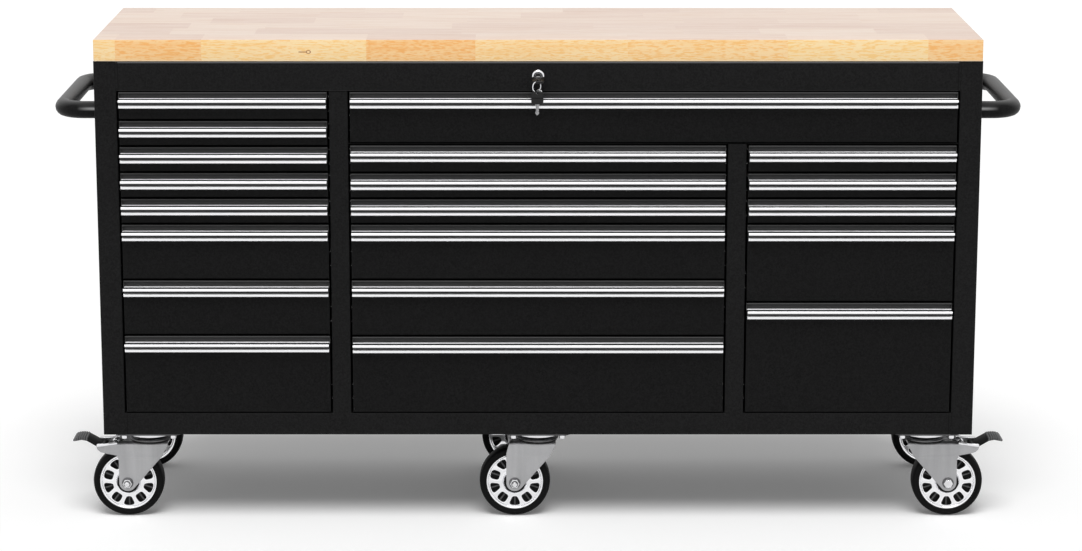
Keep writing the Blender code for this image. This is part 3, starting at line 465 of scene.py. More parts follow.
def handle_coat():
    """Glossier black on the handles, with a soft painted highlight on the legs beside the panels and painted
    light on the tube's upper sides.
    """
    look = Shading("handle_coat", Roughness=0.42, Specular_IOR_Level=0.10)
    facing = look.node("ShaderNodeNewGeometry").outputs["Normal"]
    panel = abs(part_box("side_handle_left")[1].x)
    near = look.spread(look.math("ABSOLUTE", look.axis("X")), panel + 0.040, panel + 0.004)
    front = look.spread(look.axis("Y", facing), -0.70, -0.97)
    rise = look.axis("Z", facing)
    band = look.times(look.spread(rise, 0.02, 0.26), look.spread(rise, 0.52, 0.28))
    # painted highlight on the legs' fronts beside the panels, and painted light on the tube's upper sides
    leg_highlight = look.times(near, front, band, 0.42)
    over = look.spread(look.math("ABSOLUTE", look.axis("Y", facing)), 0.75, 0.25)
    light = look.plus(leg_highlight, look.times(over, 0.085, look.spread(rise, 0.0, 0.5)))
    shade = look.mix(look.spread(look.noise(330.0, 3.0), 0.35, 0.65), grey(0.0025), grey(0.0075))
    look.set("Base Color", look.vector("ADD", shade, light))
    look.bump(look.noise(900.0), 0.15, 0.0002)
    return look.material


def anodised(name, dark, light, roughness, metallic=1.0):
    """Drawn aluminium, even across and faintly cloudy along the pull."""
    look = Shading(name, Metallic=metallic)
    cloud = look.noise(source=look.stretched((9.0, 30.0, 30.0)))
    look.set("Base Color", look.mix(look.spread(cloud, 0.3, 0.7), grey(dark), grey(light)))
    look.set("Roughness", look.spread(cloud, 0.3, 0.7, roughness * 0.85, roughness * 1.15))
    return look.material


def plated(name, dark, light, roughness, scale=70.0, upright=1.0):
    """Smooth plated or cast metal with a cloudy tone, drawn out along Z where upright is small."""
    look = Shading(name, Metallic=1.0)
    cloud = look.noise(scale, 4.0, source=look.stretched((1.0, 1.0, upright)))
    fine = look.noise(scale * 12)
    look.set("Base Color", look.mix(look.spread(cloud, 0.3, 0.7), grey(dark), grey(light)))
    look.set("Roughness", look.spread(fine, 0.3, 0.7, roughness * 0.85, roughness * 1.2))
    look.bump(fine, 0.12, 0.0001)
    return look.material


def moulded(name, level, roughness, specular):
    """Rubber or plastic with a fine moulded grain."""
    look = Shading(name, Specular_IOR_Level=specular)
    fine = look.noise(700.0, 3.0)
    cloud = look.noise(40.0, 3.0)
    tone = look.times(look.spread(fine, 0.3, 0.7, 0.85, 1.15), look.spread(cloud, 0.3, 0.7, 0.85, 1.2))
    look.set("Base Color", look.mix(look.spread(tone, 0.7, 1.4), grey(level * 0.7), grey(level * 1.4)))
    look.set("Roughness", look.spread(fine, 0.3, 0.7, roughness * 0.9, roughness * 1.12))
    look.bump(fine, 0.2, 0.0002)
    return look.material


def pedal_coat():
    """Grey cast pedal with painted shade in the grooves of its tread and on the arm inwards of it."""
    look = Shading("pedal_grey", Roughness=0.5, Specular_IOR_Level=0.10)
    start = abs(PLACES["swivel_front_left"][0]) + PEDAL_PIVOT[0] + PEDAL_TREAD[0]
    pitch = (PEDAL_TREAD[1] - PEDAL_TREAD[0]) / PEDAL_RIBS
    along = look.math("DIVIDE", look.math("SUBTRACT", look.math("ABSOLUTE", look.axis("X")), start), pitch)
    groove = look.math("GREATER_THAN", look.math("FRACT", along), 0.55)
    groove = look.times(groove, look.within(along, 0.0, PEDAL_RIBS - 1.2), 0.9)
    dark = look.most(look.spread(along, 0.1, -0.3), groove)
    metal = look.mix(look.spread(look.noise(90.0, 3.0), 0.3, 0.7), grey(0.110), grey(0.150))
    look.set("Base Color", look.mix(dark, metal, grey(0.008)))
    look.bump(look.noise(700.0, 3.0), 0.2, 0.0002)
    return look.material


def stave_grain(look):
    """A stave's tone, and the place in the grain that it is cut from."""
    tone = look.node("ShaderNodeAttribute", attribute_name="tone").outputs["Fac"]
    shift = look.node("ShaderNodeAttribute", attribute_name="shift").outputs["Vector"]
    return tone, look.vector("ADD", look.place, shift)


def deepened(look, colour, gamma):
    return look.node("ShaderNodeGamma", {"Color": colour, "Gamma": gamma}).outputs["Color"]


def worktop_wood():
    """Lacquered butcher block: each stave has its own tone and its own place in the grain."""
    look = Shading("butcher_block")
    tone, place = stave_grain(look)
    facing = look.node("ShaderNodeNewGeometry").outputs["Normal"]
    upward = look.spread(look.axis("Z", facing), 0.5, 0.9)
    side = look.math("SUBTRACT", 1.0, upward)

    bands = look.noise(1.0, 4.0, 1.1, look.stretched((4.0, 60.0, 60.0), place))
    streaks = look.noise(1.0, 3.0, 0.3, look.stretched((6.0, 170.0, 170.0), place))
    flecks = look.noise(1.0, 3.0, 0.3, look.stretched((62.0, 440.0, 440.0), place))
    mottle = look.noise(1.0, 4.0, 0.8, look.stretched((60.0, 150.0, 150.0), place))
    long_grain = look.plus(
        look.times(look.spread(bands, 0.45, 0.70), 0.30), look.times(look.spread(streaks, 0.48, 0.70), 0.42)
    )
    short_grain = look.plus(look.times(look.spread(mottle, 0.52, 0.72), 0.15), look.spread(flecks, 0.5, 0.6))
    share = look.plus(
        look.times(long_grain, look.spread(upward, 0.0, 1.0, 0.85, 1.10)),
        look.times(short_grain, look.spread(upward, 0.0, 1.0, 1.10, 0.16)),
    )
    base = look.mix(upward, look.mix(tone, *SIDE_TONES), look.mix(tone, *TOP_TONES))
    colour = look.mix(share, base, deepened(look, base, 1.7))

    x, z = look.axis("X"), look.axis("Z")
    arris = look.times(look.math("LESS_THAN", z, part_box("worktop")[0].z + ARRIS), side, 0.8)
    colour = look.mix(arris, colour, ARRIS_TONE)
    flat = look.stretched((1.0, 0.0, 1.4))
    gap = look.vector("DISTANCE", flat, (KNOT[0], 0.0, KNOT[1] * 1.4), "Value")
    tail = look.times(
        look.within(x, KNOT[0] + KNOT_TAIL[0], KNOT[0] + KNOT_TAIL[1]),
        look.within(z, KNOT[1] + KNOT_BAND[0], KNOT[1] + KNOT_BAND[1]),
    )
    knot = look.times(look.most(look.within(gap, *KNOT_RING), tail), side, 0.9)
    look.set("Base Color", look.mix(knot, colour, KNOT_TONE))
    look.set("Roughness", look.spread(streaks, 0.3, 0.7, 0.36, 0.46))
    look.bump(look.plus(streaks, flecks), 0.15, 0.00015)
    return look.material


def end_grain():
    """The sawn ends of the staves: short arcs of rings and pores."""
    look = Shading("end_grain", Roughness=0.55)
    tone, place = stave_grain(look)
    inputs = {"Vector": place, "Scale": 55.0, "Distortion": 6.0, "Detail": 3.0, "Detail Scale": 2.0}
    rings = look.node("ShaderNodeTexWave", inputs, wave_type="RINGS", rings_direction="X").outputs["Fac"]
    pores = look.noise(900.0, source=place)
    base = look.mix(tone, *END_TONES)
    share = look.plus(look.times(rings, 0.35), look.spread(pores, 0.55, 0.8, 0.0, 0.5))
    look.set("Base Color", look.mix(share, base, deepened(look, base, 1.6)))
    look.bump(pores, 0.15, 0.0002)
    return look.material


def floor_material():
    """Pale matt floor that looks a little lighter to the camera and keeps its shadow."""
    look = Shading("studio_floor", Roughness=0.9, Specular_IOR_Level=0.0, Emission_Color=(1.0, 1.0, 1.0, 1.0))
    look.set("Base Color", look.mix(look.noise(1.5), (0.955, 0.955, 0.955, 1.0), (0.965, 0.965, 0.965, 1.0)))
    seen = look.node("ShaderNodeLightPath").outputs["Is Camera Ray"]
    look.set("Emission Strength", look.times(seen, FLOOR_LIFT))
    return look.material


# Masks, painted light and painted shade of the coated solids that stay

def beside(look, edges, reach):
    """1 where x lies between two distances inwards from one of the bay edges, given as (x, inwards)."""
    x = look.axis("X")
    strips = (sorted(edge + inward * part for part in reach) for edge, inward in edges)
    return look.most(*(look.within(x, *strip) for strip in strips))


def bay_edges(*nodes):
    """Both ends of the drawer faces, each with the direction into its bay."""
    edges = []
    for node in nodes:
        low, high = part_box(node)
        edges += [(low.x, 1), (high.x, -1)]
    return edges


def shell_mask(look):
    """Cabinet members of the slides, the caster plates with their races, the plates darkened as painted
    shade, and a painted highlight on the fold under the worktop.
    """
    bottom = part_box("drawer_left_8")[0]
    low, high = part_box("drawer_wide")
    x, y, z = (look.axis(name) for name in "XYZ")
    columns = bay_edges("drawer_left_1", "drawer_middle_1", "drawer_right_1")
    strips = beside(look, columns, CABINET_MEMBER)
    behind = look.within(y, bottom.y + CABINET_MEMBER_FRONT, CABINET_MEMBER_BACK)
    shelf = look.within(z, low.z - SHELF_SHEET, low.z)
    members = look.times(strips, behind, look.math("SUBTRACT", look.within(z, bottom.z, high.z), shelf))
    plates = look.math("LESS_THAN", z, PLATE_TOP)
    flat = look.stretched((1.0, 1.0, 0.0))
    swivels = [(*PLACES[f"swivel_{name}"][:2], 0.0) for name in CASTERS]
    gaps = [look.vector("DISTANCE", flat, swivel, "Value") for swivel in swivels]
    races = look.most(*(look.math("LESS_THAN", gap, RACE_RADIUS) for gap in gaps))
    races = look.times(races, look.math("LESS_THAN", z, PLATE_Z - RACE_MARGIN))
    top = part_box("worktop")[0].z
    fold_highlight = look.times(look.within(z, top - FOLD_HIGHLIGHT_LINE, top + FOLD_HIGHLIGHT_LINE), look.within(x, -high.x, high.x))
    # the caster plates' dark zinc is painted shade under the cabinet, and the fold under the worktop gets a
    # painted highlight
    tone = look.mix(races, look.mix(plates, slide_zinc(look), grey(0.09)), grey(0.85))
    return look.most(members, plates, fold_highlight), look.mix(fold_highlight, tone, grey(FOLD_HIGHLIGHT_TONE))


def shell_painted_light(look):
    """Painted highlight on the top rail's lower fold, painted shade in the seams between the corner posts and
    the rails, and painted shade in the slit under the top rail.
    """
    low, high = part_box("drawer_wide")
    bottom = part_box("drawer_left_8")[0].z - ROW_GAP
    rail = high.z + ROW_GAP
    x, z = look.axis("X"), look.axis("Z")
    across = look.within(x, -high.x, high.x)
    fold_highlight = look.times(look.within(z, rail + GAP_SHADE, rail + GAP_SHADE + RAIL_FOLD), across)
    seams = look.most(*(look.within(x, side * high.x - SEAM, side * high.x + SEAM) for side in (-1, 1)))
    rails = look.math("SUBTRACT", 1.0, look.within(z, bottom, rail))
    front = look.math("LESS_THAN", look.axis("Y"), low.y + POST_DEPTH)
    slit = look.times(look.within(z, high.z, rail + GAP_SHADE), across)
    return look.times(fold_highlight, RAIL_FOLD_LIGHT), look.most(look.times(seams, rails, front), slit)


def face_painted_light(*drawers):
    """Painted highlights on the upper edges of the drawer faces, the pull's glow painted on the recess above
    it, its shadow painted below, and painted shade in the gaps at the faces' top and bottom.
    """
    def painted_light(look):
        z = look.axis("Z")
        light, dark = [], []
        for node in drawers:
            base, top = (corner.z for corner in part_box(node))
            low, high = (corner.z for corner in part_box(node.replace("drawer", "pull")))
            light.append(look.times(look.within(z, top - EDGE_HIGHLIGHT_LINE, top - GAP_SHADE), EDGE_HIGHLIGHT_TONE))
            fade = look.spread(z, high, top - EDGE_HIGHLIGHT_LINE, GLOW_TONE, GLOW_TONE * 0.15)
            light.append(look.times(look.within(z, high - 0.002, top - EDGE_HIGHLIGHT_LINE), fade))
            dark.append(look.within(z, low - SHADOW_LINE, low + 0.001))
            dark += [look.within(z, edge - GAP_SHADE, edge + GAP_SHADE) for edge in (top, base)]
        front = look.math("LESS_THAN", look.axis("Y"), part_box(drawers[0])[0].y + RECESS_DEPTH)
        return look.times(look.plus(*light), front), look.times(look.plus(*dark), front)
    return painted_light


def slide_zinc(look):
    return look.mix(look.noise(60.0), grey(0.42), grey(0.55))


def tray_mask(node):
    """The drawer members of the slides along both sides of a tray."""
    def mask(look):
        sides = beside(look, bay_edges(node), TRAY_MEMBER)
        behind = look.math("GREATER_THAN", look.axis("Y"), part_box(node)[0].y + TRAY_MEMBER_FRONT)
        return look.times(sides, behind), slide_zinc(look)
    return mask


# Worktop

def stave_lengths(chance, total):
    """Joint places along a row, staves of unlike length."""
    joints = []
    place = chance.uniform(STAVE_SHORTEST * 0.4, STAVE_LONGEST)
    while place < total - STAVE_SHORTEST * 0.5:
        joints.append(place)
        place += chance.uniform(STAVE_SHORTEST, STAVE_LONGEST)
    return joints


def build_worktop():
    """One board cut into rows and staves; every stave's faces carry its tone and grain shift."""
    low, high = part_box("worktop")
    chance = random.Random(SEED)
    shape = bmesh.new()
    bmesh.ops.create_cube(shape, size=1.0)
    bmesh.ops.scale(shape, vec=high - low, verts=shape.verts)
    bmesh.ops.translate(shape, vec=(low + high) / 2, verts=shape.verts)
    bmesh.ops.bevel(
        shape, geom=shape.edges, offset=EASED_EDGE, segments=EASED_STEPS, profile=0.5, affect="EDGES"
    )
    row_width = (high.y - low.y) / STAVE_ROWS
    for row in range(1, STAVE_ROWS):
        cut_across(shape, low.y + row * row_width, (0, 1, 0))
    rows = []
    for row in range(STAVE_ROWS):
        joints = FRONT_ROW_JOINTS if row == 0 else stave_lengths(chance, high.x - low.x)
        near, far = low.y + row * row_width, low.y + (row + 1) * row_width
        near -= FACE_REACH if row == 0 else 0.0
        far += FACE_REACH if row == STAVE_ROWS - 1 else 0.0
        for joint in joints:
            faces = [face for face in shape.faces if near < face.calc_center_median().y < far]
            around = {part for face in faces for part in (*face.verts, *face.edges)}
            cut_across(shape, low.x + joint, (1, 0, 0), [*around, *faces])
        rows.append((near, far, [-FACE_REACH, *joints, high.x - low.x + FACE_REACH]))
    tone_layer = shape.faces.layers.float.new("tone")
    shift_layer = shape.faces.layers.float_vector.new("shift")
    for row, (near, far, joints) in enumerate(rows):
        for number, (start, end) in enumerate(zip(joints, joints[1:])):
            tone = FRONT_ROW_TONES[number] if row == 0 else chance.random()
            shift = Vector([chance.uniform(0, 9) for _axis in range(3)])
            for face in shape.faces:
                middle = face.calc_center_median()
                if near < middle.y < far and low.x + start < middle.x < low.x + end:
                    face[tone_layer] = tone
                    face[shift_layer] = shift
                    face.material_index = 1 if abs(face.normal.x) > 0.9 else 0
    mesh = mesh_of(shape, "worktop_staves")
    mesh.materials.append(worktop_wood())
    mesh.materials.append(end_grain())
    show(new_object("worktop_staves", smooth(mesh)), "cabinet", ["worktop"])


# Handles and pulls

def build_handle(side, paint):
    """A bent tube whose two legs run square into the side panel."""
    node = f"side_handle_{side}"
    low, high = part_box(node)
    radius = (high.z - low.z) / 2
    height = (high.z + low.z) / 2
    root, grip = (high.x, low.x + radius) if side == "left" else (low.x, high.x - radius)
    near, far = low.y + radius, high.y - radius
    corners = [Vector(corner) for corner in ((root, near), (grip, near), (grip, far), (root, far))]
    path = [corners[0]]
    for before, corner, after in zip(corners, corners[1:], corners[2:]):
        start = corner + (before - corner).normalized() * HANDLE_BEND_RADIUS
        end = corner + (after - corner).normalized() * HANDLE_BEND_RADIUS
        centre = start + end - corner
        for step in range(HANDLE_BEND_STEPS + 1):
            turn = math.pi / 2 * step / HANDLE_BEND_STEPS
            path.append(centre + (start - centre) * math.cos(turn) + (end - centre) * math.sin(turn))
    path.append(corners[3])
    tube = rod([(x, y, height) for x, y in path], radius, HANDLE_ROUND_STEPS)
    add_piece(f"handle_tube_{side}", [(tube, HERE, paint)], "cabinet", "cabinet_coat", node)


def build_pull(node, looks):
    """The pull's section with eased edges, painted shade on the groove under its lip, and satin tops and
    wall.
    """
    shape = bmesh.new()
    shape.from_mesh(NODES[node].data)
    bmesh.ops.remove_doubles(shape, verts=shape.verts, dist=MERGE_DISTANCE)
    flat, sharp = math.radians(PULL_FLAT_ANGLE), math.radians(PULL_EDGE_ANGLE)
    bmesh.ops.dissolve_limit(
        shape, angle_limit=flat, verts=shape.verts, edges=shape.edges, delimit={"NORMAL"}
    )
    edges = []
    for edge in shape.edges:
        along = edge.verts[1].co - edge.verts[0].co
        if abs(along.x) > 0.9 * along.length and edge.is_manifold and edge.calc_face_angle() > sharp:
            edges.append(edge)
    bmesh.ops.bevel(
        shape, geom=edges, offset=PULL_EASED_EDGE, segments=2, profile=0.5, affect="EDGES", clamp_overlap=True
    )
    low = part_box(node)[0]
    shape.faces.index_update()
    groups = {"aluminium": [], "groove": [], "satin": []}
    for face in shape.faces:
        middle = face.calc_center_median() - low
        groove = GROOVE[0] < middle.z < GROOVE[1] and middle.y > GROOVE_SETBACK and abs(face.normal.x) < 0.5
        wall = middle.y > WALL_SETBACK and face.normal.y < -0.5 and middle.z > GROOVE[1]
        group = "groove" if groove else "satin" if wall or face.normal.z > 0.5 else "aluminium"
        groups[group].append(face.index)
    parts = []
    for look, numbers in groups.items():
        share = shape.copy()
        share.faces.ensure_lookup_table()
        others = [face for face in share.faces if face.index not in numbers]
        bmesh.ops.delete(share, geom=others, context="FACES")
        parts.append((kept(share, node), HERE, looks[look]))
    shape.free()
    add_piece(f"aluminium_{node}", parts, node.replace("pull", "drawer"), "pull_aluminium", node)


# Casters

def fork_pattern(brake, axle, leg_start):
    """The fork's flat pattern as (x, distance from its middle), bent down at leg_start on either side."""
    def along(x, z):
        return x, leg_start + CROWN_TOP - FORK_SHEET / 2 - FORK_BEND_RADIUS - z

    knee = Vector(FORK_KNEE)
    reach = Vector(axle) - knee
    slope = math.degrees(math.atan2(reach.y, reach.x) - math.asin(FORK_EYE_RADIUS / reach.length))
    lead = [
        *arc(axle, FORK_EYE_RADIUS, 0, slope - 90, 20), tuple(knee),
        (-FORK_FRONT, CROWN_TOP - FORK_BEND_RADIUS), (-FORK_FRONT, CROWN_TOP),
    ]
    lead = rounded(lead, 0.010, closed=False)[:-1]
    if brake:
        trail = [(axle[0] + FORK_EYE_RADIUS, FORK_WING_ROOT), *FORK_WING]
        trail = rounded(trail, 0.004, closed=False)
    else:
        trail = [(axle[0] + FORK_EYE_RADIUS, 0.140)]
    sides = [along(*point) for point in (*reversed(trail), *lead)]
    half = [(FORK_BACK, leg_start * 0.5), *sides, (-FORK_FRONT, leg_start * 0.5)]
    return [*half, *((x, -across) for x, across in reversed(half))]


def fork_mesh(brake, axle):
    """A pressed fork: its flat pattern is cut out with eased edges, then bent over the crown."""
    flat = FORK_INNER_HALF + FORK_SHEET / 2 - FORK_BEND_RADIUS
    leg_start = flat + FORK_BEND_RADIUS * math.pi / 2
    crown_z = CROWN_TOP - FORK_SHEET / 2
    sheet = cut_plate([fork_pattern(brake, axle, leg_start)], FORK_SHEET, FORK_EDGE)
    shape = bmesh.new()
    shape.from_mesh(sheet)
    bpy.data.meshes.remove(sheet)
    reach = max(vert.co.y for vert in shape.verts)
    cuts = [flat + (leg_start - flat) * step / 5 for step in range(6)]
    cuts += [leg_start + FORK_GRID * step for step in range(1, int((reach - leg_start) / FORK_GRID) + 1)]
    for cut in cuts:
        for sign in (-1, 1):
            cut_across(shape, sign * cut, (0, 1, 0))
    for vert in shape.verts:
        x, across, lift = vert.co
        distance, sign = abs(across), math.copysign(1, across)
        turn = min(max((distance - flat) / FORK_BEND_RADIUS, 0.0), math.pi / 2)
        radius = FORK_BEND_RADIUS + lift
        y = min(distance, flat) + radius * math.sin(turn)
        z = crown_z - FORK_BEND_RADIUS + radius * math.cos(turn) - max(distance - leg_start, 0.0)
        vert.co = (x, sign * y, z)
    return mesh_of(shape, "fork")


def half_turned(profile):
    """A profile above z = 0, given from the axis outwards, together with its mirror image below."""
    return [*profile, *((radius, -height) for radius, height in reversed(profile))]


def window_outline(centre, shares):
    """A round-cornered window of the rim; the shares give its width inwards and outwards."""
    inner, outer = WINDOW_RADII
    points = []
    for step in range(WINDOW_POINTS):
        turn = math.tau * step / WINDOW_POINTS
        rise, side = (
            math.copysign(abs(part) ** (2 / WINDOW_ROUNDNESS), part)
            for part in (math.cos(turn), math.sin(turn))
        )
        share = shares[0] + (shares[1] - shares[0]) * (rise + 1) / 2
        angle = math.radians(centre + 180 / WINDOWS * share * side)
        radius = (outer + inner + (outer - inner) * rise) / 2
        points.append((radius * math.cos(angle), radius * math.sin(angle)))
    return points


def wheel_parts(looks):
    """Tyre, cast rim with its windows, dark core with ribs, hub and seals, about the Z axis."""
    tyre = half_turned([
        (0.0585, 0.0120), (0.0600, 0.0185), (0.0612, 0.0205), (0.0630, 0.0214), (0.0645, 0.0212),
        (0.0652, 0.0220), (0.0675, 0.0224), (0.0700, 0.0218), (0.0722, 0.0200), (0.0738, 0.0170),
        (0.0746, 0.0125), (WHEEL_RADIUS, 0.0060),
    ])
    bead = half_turned([
        (0.0545, 0.0105), (0.0550, 0.0140), (0.0562, 0.0168), (0.0580, 0.0182), (0.0598, 0.0184),
        (0.0605, 0.0172), (0.0605, 0.0100),
    ])
    hub = half_turned([
        (0.0070, 0.0215), (0.0224, 0.0215), (0.0228, 0.0232), (0.0234, 0.0236), (0.0243, 0.0226),
        (0.0250, 0.0192), (0.0262, 0.0164), (0.0290, 0.0150), (0.0290, 0.0100),
    ])
    seal = half_turned([
        (0.0070, 0.0205), (0.0070, 0.0248), (0.0216, 0.0248), (0.0223, 0.0243), (0.0223, 0.0205),
    ])
    core = half_turned([(0.0200, 0.0050), (0.0555, 0.0050)])
    centres = [360 / WINDOWS * (number + 0.5) for number in range(WINDOWS)]
    windows = [window_outline(centre, WINDOW_SHARES[number % 2]) for number, centre in enumerate(centres)]
    face = cut_plate([arc((0, 0), 0.0562, 0, 360 - 360 / 96, 95), *windows], 0.0055, 0.0016)
    rib = cut_plate([rectangle(0.028, -0.0014, 0.0545, 0.0014)], 0.019, 0.0004)
    bright, dark = looks["rim"], looks["core"]
    return [
        (lathe(tyre, 96), HERE, looks["tyre"]),
        (lathe(bead, 96), HERE, bright),
        (face, at(0, 0, RIM_FACE_Z), bright),
        (face, at(0, 0, -RIM_FACE_Z), bright),
        (lathe(hub, 48), HERE, bright),
        (lathe(seal, 48), HERE, dark),
        (lathe(core, 64), HERE, dark),
        *((rib, spun(centre, "Z"), looks["rib"]) for centre in centres),
    ]


def axle_parts(axle, metal, dark):
    """Bolt head on the local -Y side of the fork, nut and bolt end on the +Y side, washers on both."""
    outer = FORK_INNER_HALF + FORK_SHEET
    place = at(axle[0], 0, axle[1])
    out, back = (place @ turned_to((0, side, 0)) for side in (1, -1))
    washer = lathe(
        [(0, 0.0002), (0.0118, 0.0002), (0.0122, 0.0010), (0.0118, WASHER_TOP), (0, WASHER_TOP)], 32, False
    )
    crown = lathe([(0.0001, 0.0), (0.0086, 0.0), (0.0080, 0.0007), (0.0001, 0.0012)], 24, False)
    end = lathe([(0.0001, 0), (0.0056, 0), (0.0056, 0.0044), (0.0046, 0.0056), (0.0001, 0.0058)], 24, False)
    collar = lathe([(0.0056, 0.0), (0.0074, 0.0), (0.0074, 0.0004), (0.0056, 0.0004)], 24)
    pin = lathe([(0.0060, -outer), (0.0060, outer)], 24, False)
    top = outer + WASHER_TOP
    return [
        # the washers and the collar take the darker zinc, painted shade around the nut and bolt head
        (washer, out @ at(0, 0, outer), dark),
        (washer, back @ at(0, 0, outer), dark),
        (hexagon_nut(NUT_WIDTH, NUT_HEIGHT), out @ at(0, 0, top), metal),
        (hexagon_nut(NUT_WIDTH, HEAD_HEIGHT), back @ at(0, 0, top), metal),
        (end, out @ at(0, 0, top + NUT_HEIGHT), metal),
        (collar, out @ at(0, 0, top + NUT_HEIGHT), dark),
        (crown, back @ at(0, 0, top + HEAD_HEIGHT), metal),
        (pin, out, metal),
    ]


def race_parts(looks):
    """Pressed ring and seal between the fork's crown and the cup on the plate, and the kingpin."""
    ring = lathe([
        (0.0060, 0.1722), (0.0340, 0.1722), (0.0420, 0.1712), (0.0438, 0.1704), (0.0442, 0.1692),
        (0.0434, 0.1682), (0.0410, 0.1676), (0.0060, 0.1676),
    ])
    seal = lathe([(0.0060, 0.1690), (0.0402, 0.1690), (0.0406, 0.1645), (0.0060, 0.1645)])
    pin = lathe([(0.0001, 0.1645), (0.0070, 0.1645), (0.0070, 0.1915), (0.0001, 0.1915)], 24, False)
    return [
        # the ring's darker zinc is painted shade under the fork's crown
        (ring, HERE, looks["zinc_dark"]),
        (seal, HERE, looks["core"]),
        (pin, HERE, looks["zinc"]),
        (hexagon_nut(0.022, 0.007), at(0, 0, 0.1915), looks["zinc"]),
    ]


def wing_parts(looks):
    """Rounded lips along the wings' upper edges, made bright as a painted highlight, and the brake shoe, pin
    and coil spring between them.
    """
    parts = []
    outer = FORK_INNER_HALF + FORK_SHEET
    lip = (
        (0.1115, 0.0, 0.1566), (0.1040, 0.0014, 0.1578), (0.0950, 0.0016, 0.1592), (0.0860, 0.0010, 0.1604),
        (0.0780, -0.0002, 0.1612), (0.0700, -0.0022, 0.1618),
    )
    for side in (-1, 1):
        path = [(x, side * (outer + proud), z) for x, proud, z in lip]
        parts.append((rod(path, 0.0026, 3), HERE, looks["lip"]))
    shoe_outline = rounded([(0.060, -0.020), (0.090, -0.016), (0.090, 0.016), (0.060, 0.020)], 0.004)
    parts.append((cut_plate([shoe_outline], 0.003, 0.0006), at(0, 0, 0.1545), looks["core"]))
    x, z = BRAKE_PIN
    pin = lathe(half_turned([(0.0001, 0.0262), (0.0036, 0.0262)]), 16, False)
    parts.append((pin, at(x, 0, z) @ turned_to((0, 1, 0)), looks["zinc"]))
    coil = []
    for step in range(SPRING_TURNS * SPRING_STEPS + 1):
        turn = math.tau * step / SPRING_STEPS
        across = 0.015 * (step / (SPRING_TURNS * SPRING_STEPS) - 0.5)
        coil.append((x + SPRING_RADIUS * math.cos(turn), across, z + SPRING_RADIUS * math.sin(turn)))
    parts.append((rod(coil, 0.0009, 1), HERE, looks["lip"]))
    return parts


def pedal_parts(looks):
    """A bent foot pad with ribs across its tread, its boss and its pin, drawn from the pivot."""
    tread_start, tread_end = PEDAL_TREAD
    top = [(0, 0.004), (0.010, 0.0085), (0.0305, 0.0200)]
    for number in range(PEDAL_RIBS):
        for share, lift in PEDAL_RIB_SHAPE:
            position = (number + share) / PEDAL_RIBS
            crown = 0.0026 * (1 - (2 * position - 0.85) ** 2)
            top.append((tread_start + (tread_end - tread_start) * position, 0.0206 + crown + lift))
    tip = [(0.0618, 0.0192), (0.0622, 0.0165), (0.0605, 0.0152)]
    under = [(0.0440, 0.0182), (0.0330, 0.0160), (0.0120, 0.0035), (0.004, -0.004), (-0.003, -0.004)]
    pad = cut_plate([[*top, *tip, *under]], PEDAL_WIDTH, 0.0007)
    boss = lathe(half_turned([(0.0001, 0.0248), (0.0056, 0.0248), (0.0062, 0.0242)]), 24, False)
    pin = lathe(half_turned([(0.0001, 0.0304), (0.0036, 0.0304), (0.0039, 0.0300)]), 16, False)
    pivot = at(PEDAL_PIVOT[0], 0, PEDAL_PIVOT[1])
    across = pivot @ turned_to((0, 1, 0))
    upright = pivot @ spun(90, "X")
    return [(pad, upright, looks["pedal"]), (boss, across, looks["pedal"]), (pin, across, looks["zinc"])]


def plate_parts(looks):
    """The bright cup of the upper race and the four cap nuts under the plate."""
    cup = lathe([
        (0.0080, 0.1735), (0.0300, 0.1735), (0.0335, 0.1741), (0.0350, 0.1755), (0.0354, 0.1775),
        (0.0354, CUP_Z), (0.0080, CUP_Z),
    ])
    nut = lathe([
        (0.0001, 0.0098), (0.0045, 0.0097), (0.0062, 0.0088), (0.0068, 0.0070), (0.0068, 0.0), (0.0001, 0.0),
    ], 24, False)
    x, y = PLATE_NUT
    places = [at(*corner, PLATE_Z) @ spun(180, "X") for corner in ((-x, -y), (-x, y), (x, -y), (x, y))]
    return [(cup, HERE, looks["chrome"]), *((nut, place, looks["chrome"]) for place in places)]


def build_casters(looks):
    wheel = wheel_parts(looks)
    for name in CASTERS:
        x, y, _z = PLACES[f"swivel_{name}"]
        axle_x, _y, axle_z = PLACES[f"axle_{name}"]
        place = at(x, y, 0) @ spun(0 if axle_x > x else 180, "Z")
        axle = (abs(axle_x - x), axle_z)
        brake = f"brake_pedal_{name}" in NODES
        fork = [(fork_mesh(brake, axle), HERE, looks["zinc"])]
        fork += axle_parts(axle, looks["zinc_bright"], looks["zinc_dark"]) + race_parts(looks)
        if brake:
            fork += wing_parts(looks)
            pedal, node = pedal_parts(looks), f"brake_pedal_{name}"
            add_piece(f"foot_pedal_{name}", pedal, f"pedal_{name}", "pedal_grey", node, place=place)
        add_piece(f"fork_pressing_{name}", fork, f"swivel_{name}", "zinc_plate", f"fork_{name}", place=place)
        centre = at(axle_x, y, axle_z) @ turned_to((0, -1, 0))
        add_piece(f"spoked_wheel_{name}", wheel, f"wheel_{name}", "tyre", f"wheel_{name}", place=centre)
        add_piece(f"plate_hardware_{name}", plate_parts(looks), "cabinet", "zinc_plate", place=place)


# Lock

